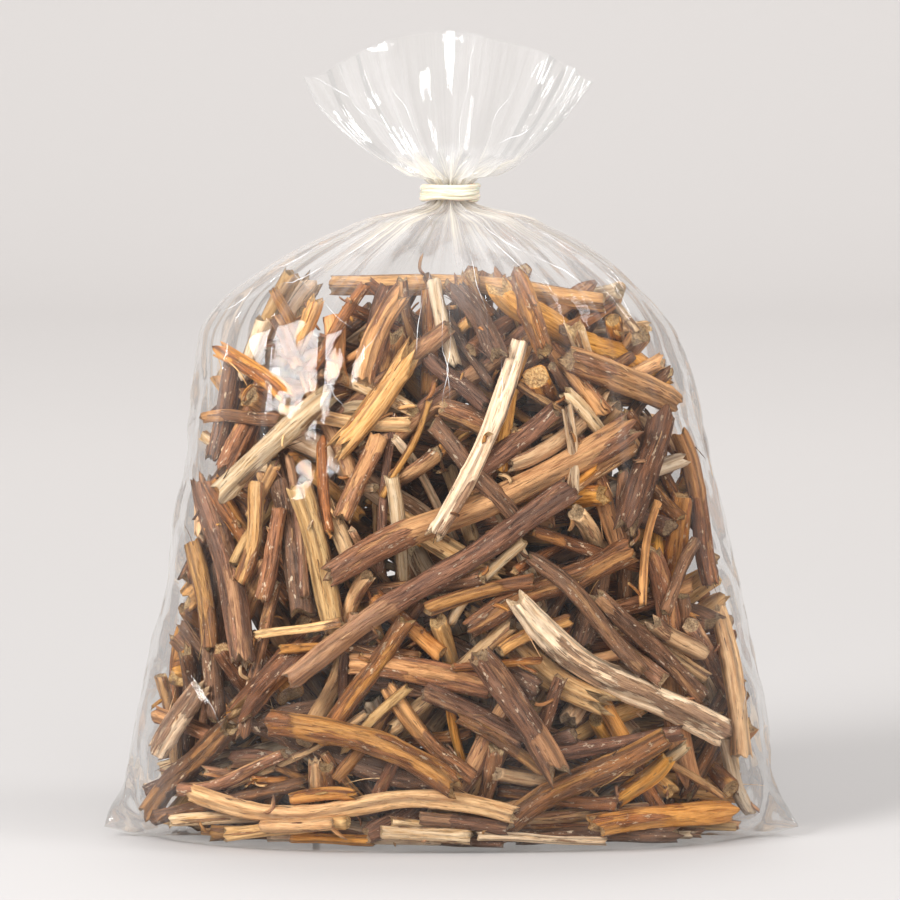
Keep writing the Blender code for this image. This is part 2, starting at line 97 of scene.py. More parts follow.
# Section of the body: how square it is in width and in depth, and the heights between which it turns round
WIDTH_POWER = 2.6
DEPTH_POWER = 1.8
ROUND_FROM = 110.0 * MM
ROUND_TO = 127.0 * MM

# Room that the root pieces keep: between each other, to the film, and how much more to its sides and front
PIECE_GAP = 0.55 * MM
FILM_GAP = 0.5 * MM
SIDE_MARGIN = 1.3
FRONT_MARGIN = 1.2
HEAP_TOP = 112.0 * MM

# Tangles: the height each level starts at in millimetres and how many stand on it, where they start as a
# share of the bag's width and depth, the pieces in each, and how far joined pieces sink into each other
TANGLE_LEVELS = [(14, 4), (38, 4), (64, 3), (88, 3)]
TANGLE_ACROSS = 0.6
TANGLE_DEPTH = 0.35
TANGLE_BACK = 0.22
PIECES_A_TANGLE = 7
SINK = 0.4

# Pieces in a tangle: lengths, radii, slope, lean in depth, and bow and wave as a share of the length
PIECE_LENGTHS = (30.0 * MM, 58.0 * MM)
PIECE_RADII = (1.8 * MM, 2.8 * MM)
PIECE_SLOPE = 1.3
PIECE_LEAN = 0.8
PIECE_BOW = 0.05
PIECE_WAVE = 0.02

# Settling: rounds, rounds between two searches for neighbours, the share of a cut or a step over the film
# that one round takes away, how easily a front piece gives way, and how fast it comes back to its place
SEED = 20
SETTLE_STEPS = 900
SEARCH_EVERY = 10
PART_SHARE = 0.45
INSIDE_SHARE = 0.5
FRONT_GIVES = 0.35
FRONT_RETURN = 0.08
LAYER_DEPTH = 6.0 * MM
NEIGHBOUR_REACH = 10 * MM
TANGLE_JITTER = 3
PARENTS = 3
JOIN_SHARES = (0.1, 0.9)

# Pieces that show at the front, in millimetres from the bag's middle and from the floor:
# name, finish, one end (x, z), other end (x, z), radius, bow, wave, layer behind the film
FRONT_PIECES = [
    ("long_amber", "amber", (-24, 56), (36, 85), 2.8, -1.0, 1.0, 0),
    ("long_striped", "russet", (-32, 35), (24, 73), 2.4, 0.5, 0.5, 0),
    ("bone_right", "bone", (13, 51), (55, 22), 2.8, -3.0, -1.0, 0),
    ("bone_upper_left", "bone", (-46, 71), (-25, 91), 2.4, 0.5, 0.0, 0),
    ("knotty_grey", "bone", (-33, 83), (-5, 65), 2.9, 0.8, 0.5, 1),
    ("bone_centre", "bone", (14, 102), (-3, 64), 1.8, 1.5, 0.0, 0),
    ("left_tall", "russet", (-52, 72), (-41, 38), 2.4, 0.8, 0.0, 0),
    ("left_dark", "umber", (-35, 77), (-29, 47), 2.8, 0.8, 0.5, 1),
    ("straw_front", "straw", (-30, 73), (-23, 44), 2.3, 0.6, 0.0, 0),
    ("straw_back", "straw", (-26, 71), (-19, 57), 1.9, 0.4, 0.0, 1),
    ("straw_mid", "straw", (-13, 68), (10, 55), 2.1, -0.6, 0.0, 1),
    ("right_mid", "russet", (4, 45), (36, 60), 2.4, 0.8, 0.5, 0),
    ("torn_mid", "straw", (4, 48), (30, 30), 2.6, -1.0, 0.5, 1),
    ("upper_right", "russet", (24, 98), (47, 88), 2.8, 1.0, 0.0, 0),
    ("right_upright", "umber", (43, 86), (35, 65), 2.7, 0.6, 0.0, 0),
    ("right_thin", "russet", (24, 84), (34, 60), 1.8, 0.8, 0.5, 1),
    ("low_right", "russet", (11, 5), (43, 23), 2.5, 0.8, 0.8, 0),
    ("low_wavy", "straw", (-52, 11), (13, 9), 1.9, -0.8, -2.4, 0),
    ("amber_arch", "amber", (-36, 26), (1, 14), 2.6, 3.0, 0.0, 0),
    ("corner_root", "umber", (-62, 5), (-44, 25), 2.3, 0.6, 0.5, 0),
    ("grey_knot", "umber", (-42, 28), (-27, 43), 2.7, 0.5, 0.0, 1),
    ("dark_bow", "umber", (-43, 28), (-2, 14), 2.4, -2.4, 0.0, 1),
    ("low_left_bone", "bone", (-49, 14), (-25, 21), 2.1, 0.5, 0.0, 2),
    ("dark_mid", "umber", (6, 40), (21, 17), 2.5, 0.8, 0.0, 0),
    ("small_upright", "amber", (11, 30), (1, 12), 1.9, 0.4, 0.0, 1),
    ("band_mid", "russet", (-20, 38), (8, 33), 2.4, 0.8, 0.0, 1),
    ("band_low", "russet", (-16, 34), (28, 19), 2.1, 0.8, 0.5, 2),
    ("right_long", "russet", (40, 59), (48, 12), 2.3, 0.8, 1.0, 1),
    ("right_dark", "umber", (30, 57), (26, 41), 2.3, 0.4, 0.0, 1),
    ("edge_right_high", "russet", (47, 82), (53, 52), 2.0, 0.8, 0.5, 1),
    ("edge_right_low", "straw", (54, 47), (59, 17), 2.1, 0.8, 0.0, 1),
    ("floor_right", "amber", (29, 5), (57, 6), 2.5, 0.6, 0.0, 0),
    ("top_amber", "amber", (-10, 111), (-17, 94), 2.3, -1.0, 0.0, 0),
    ("top_straw", "straw", (-8, 99), (-22, 81), 2.4, 0.8, 0.0, 1),
    ("upper_band", "bone", (-21, 87), (12, 84), 2.1, 0.8, 0.0, 2),
    ("upper_long", "russet", (-2, 89), (20, 75), 2.2, 0.8, 0.5, 1),
    ("left_top_knob", "amber", (-46, 99), (-32, 90), 1.9, 0.5, 0.0, 0),
    ("left_top_dark", "umber", (-44, 96), (-47, 77), 2.2, 0.5, 0.0, 1),
    ("left_top_russet", "russet", (-37, 94), (-45, 75), 2.3, 0.5, 0.0, 1),
    ("left_slant", "umber", (-44, 69), (-29, 54), 2.5, 0.8, 0.0, 2),
    ("left_edge_amber", "amber", (-52, 60), (-48, 40), 1.9, 0.5, 0.0, 1),
    ("left_low_bone", "bone", (-59, 18), (-50, 32), 2.2, 0.3, 0.0, 0),
    ("top_right_amber", "amber", (33, 109), (21, 98), 2.1, 0.5, 0.0, 1),
    ("top_mid_umber", "umber", (1, 113), (10, 99), 1.9, 0.5, 0.0, 0),
]


# Shares of a piece's length where its centre line is tested against the others and against the film
SHARES = [0.0, 0.25, 0.5, 0.75, 1.0]


def film_at(height):
    """Reach to the left, reach to the right and half depth of the film at each height."""
    stations = np.array(FILM_STATIONS) * MM
    return [np.interp(height, stations[:, 0], stations[:, column]) for column in (1, 2, 3)]


def dot(a, b):
    return a[..., 0] * b[..., 0] + a[..., 1] * b[..., 1] + a[..., 2] * b[..., 2]


def unit(a):
    return a / np.sqrt(np.maximum(dot(a, a), 1e-18))[..., None]


class Heap:
    """The root pieces. Each is a line from start to end with a bow and a wave across it."""

    def __init__(self):
        self.start, self.end, self.shape, self.parent, self.names, self.anchored = [], [], [], [], [], []

    def add(self, name, start, end, radius, bow, wave, turn, parent=-1, anchored=False):
        self.start.append(start)
        self.end.append(end)
        self.shape.append((radius, bow, wave, turn))
        self.parent.append(parent)
        self.names.append(name)
        self.anchored.append(anchored)
        return len(self.names) - 1

    def freeze(self):
        """Turns the lists into arrays, and keeps each piece's length and first place."""
        self.start, self.end = np.array(self.start), np.array(self.end)
        self.radius, self.bow, self.wave, self.turn = np.array(self.shape).T
        self.parent, self.anchored = np.array(self.parent), np.array(self.anchored)
        self.length = np.sqrt(dot(self.end - self.start, self.end - self.start))
        self.first_start, self.first_end = self.start.copy(), self.end.copy()
        self.cosine = np.array([math.cos(turn) for turn in self.turn])
        self.sine = np.array([math.sin(turn) for turn in self.turn])

    def points(self, shares):
        """Points of every centre line at the given shares of its length: pieces x shares x 3."""
        along = self.end - self.start
        axis = unit(along)
        side = unit(np.stack([-axis[:, 2], 0 * axis[:, 1], axis[:, 0]], axis=1))
        back = np.cross(axis, side)
        across = side * self.cosine[:, None] + back * self.sine[:, None]
        bowed = np.array([4 * t * (1 - t) for t in shares])
        waved = np.array([math.sin(2 * math.pi * t) for t in shares])
        offset = self.bow[:, None] * bowed + self.wave[:, None] * waved
        return (
            self.start[:, None]
            + along[:, None] * np.array(shares)[None, :, None]
            + across[:, None] * offset[:, :, None]
        )


def near_pairs(heap):
    """Pairs of pieces that are close enough to meet."""
    middle = (heap.start + heap.end) / 2
    first, second = np.triu_indices(len(middle), 1)
    apart = middle[first] - middle[second]
    reach = (heap.length[first] + heap.length[second]) / 2 + NEIGHBOUR_REACH
    keep = dot(apart, apart) < reach**2
    return first[keep], second[keep]


def nearest(heap, first, second):
    """For each pair: where along both they come nearest, the way from second to first, and how far."""
    points = heap.points(SHARES)
    spans = len(SHARES) - 1
    best = np.full(len(first), np.inf)
    share_a, share_b = np.zeros(len(first)), np.zeros(len(first))
    way = np.zeros((len(first), 3))
    for i in range(spans):
        p, u = points[first, i], points[first, i + 1] - points[first, i]
        for j in range(spans):
            q, v = points[second, j], points[second, j + 1] - points[second, j]
            w = p - q
            a, b, c, d, e = dot(u, u), dot(u, v), dot(v, v), dot(u, w), dot(v, w)
            s = np.clip((b * e - c * d) / np.maximum(a * c - b * b, 1e-14), 0, 1)
            t = np.clip((b * s + e) / c, 0, 1)
            s = np.clip((b * t - d) / a, 0, 1)
            gap = w + u * s[:, None] - v * t[:, None]
            far = dot(gap, gap)
            closer = far < best
            best = np.where(closer, far, best)
            share_a = np.where(closer, (i + s) / spans, share_a)
            share_b = np.where(closer, (j + t) / spans, share_b)
            way = np.where(closer[:, None], gap, way)
    distance = np.sqrt(best)
    lost = distance < 1e-6
    way[lost] = (0.0, 1e-6, 0.0)
    return share_a, share_b, unit(way), distance


def shift(heap, which, share, move):
    """Moves pieces so that the point at share moves by move."""
    lean = (1 - share) ** 2 + share**2
    np.add.at(heap.start, which, move * ((1 - share) / lean)[:, None])
    np.add.at(heap.end, which, move * (share / lean)[:, None])


def part_pieces(heap, first, second):
    """Pushes pieces that cut each other apart, and pulls those of a tangle together."""
    share_a, share_b, way, distance = nearest(heap, first, second)
    joined = (heap.parent[first] == second) | (heap.parent[second] == first)
    radii = heap.radius[first] + heap.radius[second]
    wanted = np.where(joined, SINK * radii, radii + PIECE_GAP)
    short = wanted - distance
    short = np.where(joined, short, np.maximum(short, 0))
    active = np.abs(short) > 1e-7
    first, second, short = first[active], second[active], short[active]
    share_a, share_b, way = share_a[active], share_b[active], way[active]
    weight_a = np.where(heap.anchored[first], FRONT_GIVES, 1.0)
    weight_b = np.where(heap.anchored[second], FRONT_GIVES, 1.0)
    total = weight_a + weight_b
    step = PART_SHARE * short[:, None] * way
    shift(heap, first, share_a, step * (weight_a / total)[:, None])
    shift(heap, second, share_b, -step * (weight_b / total)[:, None])


def keep_inside(heap, top=HEAP_TOP):
    """Moves the points that are outside the film, or too near to it, back in."""
    points = heap.points(SHARES)
    margin = heap.radius + FILM_WALL + FILM_GAP
    for column, share in enumerate(SHARES):
        point = points[:, column]
        left, right, depth = film_at(point[:, 2])
        width = np.maximum(np.where(point[:, 0] < 0, left, right) - SIDE_MARGIN * margin, 1 * MM)
        depth = np.maximum(depth - FRONT_MARGIN * margin, 1 * MM)
        level = np.abs(point[:, 0] / width) ** WIDTH_POWER + np.abs(point[:, 1] / depth) ** DEPTH_POWER
        scale = np.where(level > 1, level ** (-1 / DEPTH_POWER), 1.0)
        move = np.zeros_like(point)
        move[:, :2] = point[:, :2] * (scale - 1)[:, None]
        move[:, 2] = np.maximum(margin - point[:, 2], 0) - np.maximum(point[:, 2] - top, 0)
        share_of_all = np.full(len(point), share)
        shift(heap, np.arange(len(point)), share_of_all, INSIDE_SHARE * move)


def hold_shape(heap):
    """Gives each piece its own length back, and draws the anchored ones towards their first place."""
    for here, first in ((heap.start, heap.first_start), (heap.end, heap.first_end)):
        pull = FRONT_RETURN * (first - here) * heap.anchored[:, None]
        here[:, 0] += pull[:, 0]
        here[:, 2] += pull[:, 2]
    middle = (heap.start + heap.end) / 2
    half = unit(heap.end - heap.start) * (heap.length / 2)[:, None]
    heap.start, heap.end = np.round(middle - half, 9), np.round(middle + half, 9)


def front_place(x, z, radius, layer):
    """The point behind the front film at x and z, in that layer."""
    left, right, depth = film_at(z)
    width = right if x > 0 else left
    level = max(1 - abs(x / width) ** WIDTH_POWER, 0.02)
    return (x, -depth * level ** (1 / DEPTH_POWER) + radius + layer * LAYER_DEPTH + FILM_WALL, z)


def scattered_piece(draw, centre):
    """Ends and shape of a piece with its middle at centre, more or less in a plane that faces the front."""
    length = draw.uniform(*PIECE_LENGTHS)
    slope = draw.uniform(-PIECE_SLOPE, PIECE_SLOPE)
    lean = draw.uniform(-PIECE_LEAN, PIECE_LEAN)
    way = Vector((math.cos(slope), lean, math.sin(slope))).normalized() * (length / 2)
    radius = draw.uniform(*PIECE_RADII)
    bow = draw.uniform(-PIECE_BOW, PIECE_BOW) * length
    wave = draw.uniform(-PIECE_WAVE, PIECE_WAVE) * length
    turn = draw.uniform(0, 2 * math.pi)
    return tuple(centre - way), tuple(centre + way), radius, bow, wave, turn


def tangle_seeds(draw):
    """One starting place for each tangle, spread over the back, the sides and the middle of the bag."""
    seeds = []
    for level, (height, around) in enumerate(TANGLE_LEVELS):
        left, right, depth = film_at(height * MM)
        for k in range(around):
            angle = 2 * math.pi * (k + 0.5 * (level % 2)) / around + math.pi / 4
            x = TANGLE_ACROSS * (left + right) / 2 * math.cos(angle)
            y = depth * (TANGLE_DEPTH * math.sin(angle) + TANGLE_BACK)
            jitter = draw.uniform(-TANGLE_JITTER, TANGLE_JITTER)
            seeds.append(Vector((x, y, (height + jitter) * MM)))
    return seeds


def lay_out():
    """Places every piece of root and settles the heap so that no two pieces cut each other."""
    draw = random.Random(SEED)
    heap = Heap()
    for name, _, (x1, z1), (x2, z2), radius, bow, wave, layer in FRONT_PIECES:
        ends = [front_place(x * MM, z * MM, radius * MM, layer) for x, z in ((x1, z1), (x2, z2))]
        heap.add(name, ends[0], ends[1], radius * MM, bow * MM, wave * MM, 0.0, anchored=True)
    for k, seed in enumerate(tangle_seeds(draw)):
        members = []
        for _ in range(PIECES_A_TANGLE):
            parent, centre = -1, seed
            if members:
                parent = draw.choice(members[-PARENTS:])
                share = draw.uniform(*JOIN_SHARES)
                start, end = Vector(heap.start[parent]), Vector(heap.end[parent])
                centre = start.lerp(end, share)
            piece = scattered_piece(draw, centre)
            members.append(heap.add(f"tangle_{k + 1:02d}", *piece, parent=parent))
    heap.freeze()
    for step in range(SETTLE_STEPS):
        if step % SEARCH_EVERY == 0:
            pairs = near_pairs(heap)
        part_pieces(heap, *pairs)
        keep_inside(heap)
        hold_shape(heap)
    return heap


# The fine heap: thin pieces that fill the gaps, and how they settle between the others
FILLER_SEED = 7
FILLERS = 410
FILLER_TRIES = 14
FILLER_LENGTHS = (12.0 * MM, 34.0 * MM)
FILLER_RADII = (0.8 * MM, 1.9 * MM)
FILLER_ROUNDS = 90
FILLER_GAP = 0.05 * MM
FILLER_REACH = 0.86
FLOOR_FILLERS = 38
FLOOR_REACH = 70 * MM
FILLER_BEHIND = 8.5 * MM
TOP_FILLERS = 28
THIN_TOP = 113.5 * MM
# The heap's top as the photograph shows it, in millimetres: places across, and height at each
TOP_LINE = ((-40, -24, -11, 0, 10, 20, 30, 38, 44), (100, 106, 109.5, 109, 106, 106, 109.5, 105, 97))

# Thin pieces that stand up out of the heap's top: lower end, upper end (x, y, z) and radius, in millimetres
TIPS = [
    ((-31, -9, 98), (-25, -7, 108), 1.8),
    ((-17, -11, 94), (-10, -9, 110), 1.9),
    ((-6, -10, 90), (-3, -9, 111), 1.7),
    ((8, -9, 106), (1, -8, 113), 1.4),
    ((3, -11, 100), (12, -9, 106), 1.7),
    ((24, -9, 98), (33, -7, 112), 2.1),
    ((34, -4, 92), (38, -4, 107), 1.9),
    ((-40, -2, 92), (-36, -3, 104), 1.8),
    ((14, -2, 101), (20, -4, 107), 1.4),
    ((-24, 0, 100), (-16, -2, 107), 1.5),
    ((-12, 4, 101), (-2, 4, 108), 1.6),
    ((16, 6, 102), (6, 6, 107), 1.5),
    ((30, 5, 100), (22, 6, 107), 1.6),
    ((-34, 6, 96), (-28, 5, 104), 1.7),
]

# How finely pieces are divided: rings along and sides around
FRONT_DETAIL = (72, 22)
TANGLE_DETAIL = (48, 14)
FILLER_DETAIL = (20, 9)


def filler_seed(draw):
    """One thin piece thrown into the bag: its centre, half of its way from end to end, and its radius."""
    while True:
        z = draw.uniform(3, 105) * MM
        left, right, depth = film_at(z)
        x = draw.uniform(-0.97 * left, 0.97 * right)
        if z > (np.interp(x / MM, *TOP_LINE) - 3) * MM:
            continue
        y = draw.uniform(-0.9, 0.9) * depth
        level = abs(x / (left if x < 0 else right)) ** WIDTH_POWER + abs(y / depth) ** DEPTH_POWER
        if level < FILLER_REACH:
            way = Vector((draw.gauss(0, 1), 0.5 * draw.gauss(0, 1), draw.gauss(0, 0.9))).normalized()
            radius = draw.uniform(*FILLER_RADII) * (1.3 if abs(y) < 0.4 * depth else 1.0)
            return Vector((x, y, z)), way * draw.uniform(*FILLER_LENGTHS) / 2, radius


def inside_film(point, room):
    """Whether a point keeps some room to the smooth film."""
    left, right, depth = film_at(point[2])
    side = (left if point[0] < 0 else right) - room
    depth = depth - room
    if side <= 0 or depth <= 0 or point[2] < room:
        return False
    return abs(point[0] / side) ** WIDTH_POWER + abs(point[1] / depth) ** DEPTH_POWER < 1


def settle_fillers(heap):
    """Adds thin pieces where the settled heap is emptiest, and moves only them into its gaps."""
    draw = random.Random(FILLER_SEED)
    full = Heap()
    for index, name in enumerate(heap.names):
        shape = (heap.radius[index], heap.bow[index], heap.wave[index], heap.turn[index])
        full.add(name, tuple(heap.start[index]), tuple(heap.end[index]), *shape)
    first_filler = len(full.names)
    shares = np.linspace(0, 1, 11)
    taken = heap.points(list(shares)).reshape(-1, 3)
    taken_radius = np.repeat(np.array(heap.radius), len(shares))
    lying = []
    for _ in range(FLOOR_FILLERS):
        x, z = draw.uniform(-56, 56) * MM, draw.uniform(1.6, 4.5) * MM
        narrowing = 1 - (abs(x) / FLOOR_REACH) ** 3
        y = draw.choice((-1, -1, 1)) * draw.uniform(0.6, 0.88) * film_at(z)[2] * narrowing
        way = Vector((1, draw.uniform(-0.3, 0.3), draw.uniform(-0.08, 0.08))) * draw.uniform(7, 18) * MM
        lying.append((Vector((x, y, z)), way, draw.uniform(0.8, 1.5) * MM))
    for _ in range(TOP_FILLERS):
        x, y = draw.uniform(-28, 36) * MM, draw.uniform(-7, 8) * MM
        z = (np.interp(x / MM, *TOP_LINE) - draw.uniform(4.5, 9.0)) * MM
        turn, tilt = draw.uniform(0, math.pi), draw.uniform(-0.6, 0.6)
        way = Vector((math.cos(turn), 0.6 * math.sin(turn), math.sin(tilt))) * draw.uniform(3.5, 8) * MM
        lying.append((Vector((x, y, z)), way, draw.uniform(0.9, 1.8) * MM))
    for low, high, radius in TIPS:
        low, high = Vector(low) * MM, Vector(high) * MM
        lying.append(((low + high) / 2, (high - low) / 2, radius * MM))
    for centre, way, radius in lying:
        full.add("filler", tuple(centre - way), tuple(centre + way), radius, 0.0, 0.0, 0.0)
        own = np.array([centre + way * t for t in (-1, -0.5, 0, 0.5, 1)])
        taken = np.concatenate([taken, own])
        taken_radius = np.concatenate([taken_radius, np.full(len(own), radius)])
    for _ in range(FILLERS):
        seeds = [filler_seed(draw) for _ in range(FILLER_TRIES)]
        own = np.array([[centre + way * t for t in (-1, -0.5, 0, 0.5, 1)] for centre, way, _ in seeds])
        away = np.linalg.norm(own.reshape(-1, 1, 3) - taken[None], axis=-1) - taken_radius[None]
        room = away.min(axis=1).reshape(len(seeds), -1)
        best = int(np.argmax(room.mean(axis=1) + room.min(axis=1)))
        centre, way, radius = seeds[best]
        taken = np.concatenate([taken, own[best]])
        taken_radius = np.concatenate([taken_radius, np.full(len(own[best]), radius)])
        length = 2 * way.length
        bow, wave = draw.uniform(-0.05, 0.05) * length, draw.uniform(-0.02, 0.02) * length
        turn = draw.uniform(0, 2 * math.pi)
        full.add("filler", tuple(centre - way), tuple(centre + way), radius, bow, wave, turn)
    full.freeze()
    thin = np.arange(len(full.names)) >= first_filler
    hidden = np.arange(len(full.names)) >= first_filler + len(lying)
    keep_start, keep_end = full.start[:first_filler].copy(), full.end[:first_filler].copy()
    for step in range(FILLER_ROUNDS):
        if step % SEARCH_EVERY == 0:
            first, second = near_pairs(full)
            loose = thin[first] | thin[second]
            first, second = first[loose], second[loose]
        share_a, share_b, way, distance = nearest(full, first, second)
        short = full.radius[first] + full.radius[second] + FILLER_GAP - distance
        cut = short > 1e-7
        a, b = first[cut], second[cut]
        weight_a, weight_b = thin[a] * 1.0, thin[b] * 1.0
        move = PART_SHARE * short[cut][:, None] * way[cut] / (weight_a + weight_b)[:, None]
        shift(full, a, share_a[cut], move * weight_a[:, None])
        shift(full, b, share_b[cut], -move * weight_b[:, None])
        keep_inside(full, THIN_TOP)
        hold_shape(full)
        for ends in (full.start, full.end):
            foremost = front_of_film(ends[hidden, 0], np.clip(ends[hidden, 2], 0, HEAP_TOP)) + FILLER_BEHIND
            ends[hidden, 1] = np.maximum(ends[hidden, 1], np.minimum(foremost, 0))
        full.start[:first_filler], full.end[:first_filler] = keep_start, keep_end
    return full, first_filler


def pattern(draw, angle, along, terms, waves, lengths, drifts=(0.5, 1.7)):
    """A wandering streaky pattern round a piece and along it, mostly from -1 to 1."""
    total = np.zeros(np.broadcast(angle, along).shape)
    for _ in range(terms):
        count = draw.randint(*waves)
        phase, start = draw.uniform(0, 2 * math.pi), draw.uniform(0, 2 * math.pi)
        drift, length = draw.uniform(*drifts), draw.uniform(*lengths)
        wander = phase + drift * np.sin(2 * math.pi * along / length + start)
        fade = 0.65 + 0.35 * np.sin(2 * math.pi * along / (1.7 * length) + phase)
        total += np.cos(count * angle + wander) * fade
    return total / math.sqrt(0.55 * terms)


def add_mesh(name, points, faces, finish, **attributes):
    """A smooth mesh object with one finish, and with the named attributes at its points."""
    kinds = {(): ("FLOAT", "value"), (3,): ("FLOAT_VECTOR", "vector"), (4,): ("FLOAT_COLOR", "color")}
    mesh = bpy.data.meshes.new(name)
    mesh.from_pydata(points, [], faces)
    mesh.shade_smooth()
    for key, values in attributes.items():
        kind, field = kinds[values.shape[1:]]
        made = mesh.attributes.new(key, kind, "POINT")
        made.data.foreach_set(field, values.astype(np.float32).ravel())
    mesh.materials.append(finish)
    made = bpy.data.objects.new(name, mesh)
    bpy.context.scene.collection.objects.link(made)
    return made


class Batch:
    """Points, faces and looks of the pieces that go into one mesh."""

    def __init__(self):
        self.points, self.quads, self.triangles, self.grain, self.look = [], [], [], [], []
        self.count = 0

    def add_rows(self, points, grain, look):
        """A tube of rows of points, closed by a fan at each end. look holds bark, cut, tone, and how deep the
        piece is grooved there, which the material also darkens as painted shade.
        """
        rows, sides = points.shape[:2]
        start = self.count
        index = start + np.arange(rows * sides).reshape(rows, sides)
        following = np.roll(index, -1, axis=1)
        quads = np.stack([index[:-1], following[:-1], following[1:], index[1:]], axis=-1).reshape(-1, 4)
        tips = start + rows * sides
        low = np.stack([np.full(sides, tips), following[0], index[0]], axis=-1)
        high = np.stack([np.full(sides, tips + 1), index[-1], following[-1]], axis=-1)
        self.points.append(points.reshape(-1, 3))
        self.points.append(np.stack([points[0].mean(0), points[-1].mean(0)]))
        self.grain.append(grain.reshape(-1, 3))
        self.grain.append(np.stack([grain[0].mean(0), grain[-1].mean(0)]))
        self.look.append(look.reshape(-1, 4))
        self.look.append(np.stack([look[0].mean(0), look[-1].mean(0)]))
        self.quads.append(quads)
        self.triangles.append(np.concatenate([low, high]))
        self.count += rows * sides + 2

    def build(self, name, finish, inside=True):
        """One object of all the pieces, pressed in behind the film unless inside is False."""
        points = np.concatenate(self.points)
        points = (press_in(points) if inside else points).tolist()
        faces = np.concatenate(self.quads).tolist() + np.concatenate(self.triangles).tolist()
        grain, look = np.concatenate(self.grain), np.concatenate(self.look)
        return add_mesh(name, points, faces, finish, grain=grain, look=look)


def frames(line):
    """Along, across and up vectors at every point of a line."""
    along = unit(np.gradient(line, axis=0))
    mean = along.mean(0)
    reference = np.eye(3)[int(np.argmin(np.abs(mean)))]
    across = unit(np.cross(along, reference[None]))
    return along, across, np.cross(along, across)


CAP_SHARES = (0.18, 0.5, 0.84)
PEEL_EDGE = 0.06
FILM_CLEAR = 0.75 * MM


def press_in(points):
    """Flattens what would press through the film against the inside of it."""
    left, right, depth = film_at(points[:, 2])
    width = np.maximum(np.where(points[:, 0] < 0, left, right) - FILM_CLEAR, MM)
    depth = np.maximum(depth - FILM_CLEAR, MM)
    level = np.abs(points[:, 0] / width) ** WIDTH_POWER + np.abs(points[:, 1] / depth) ** DEPTH_POWER
    scale = np.where(level > 1, level ** (-1 / DEPTH_POWER), 1.0)
    pressed = points.copy()
    pressed[:, :2] *= scale[:, None]
    pressed[:, 2] = np.maximum(pressed[:, 2], 0.4 * MM)
    return pressed


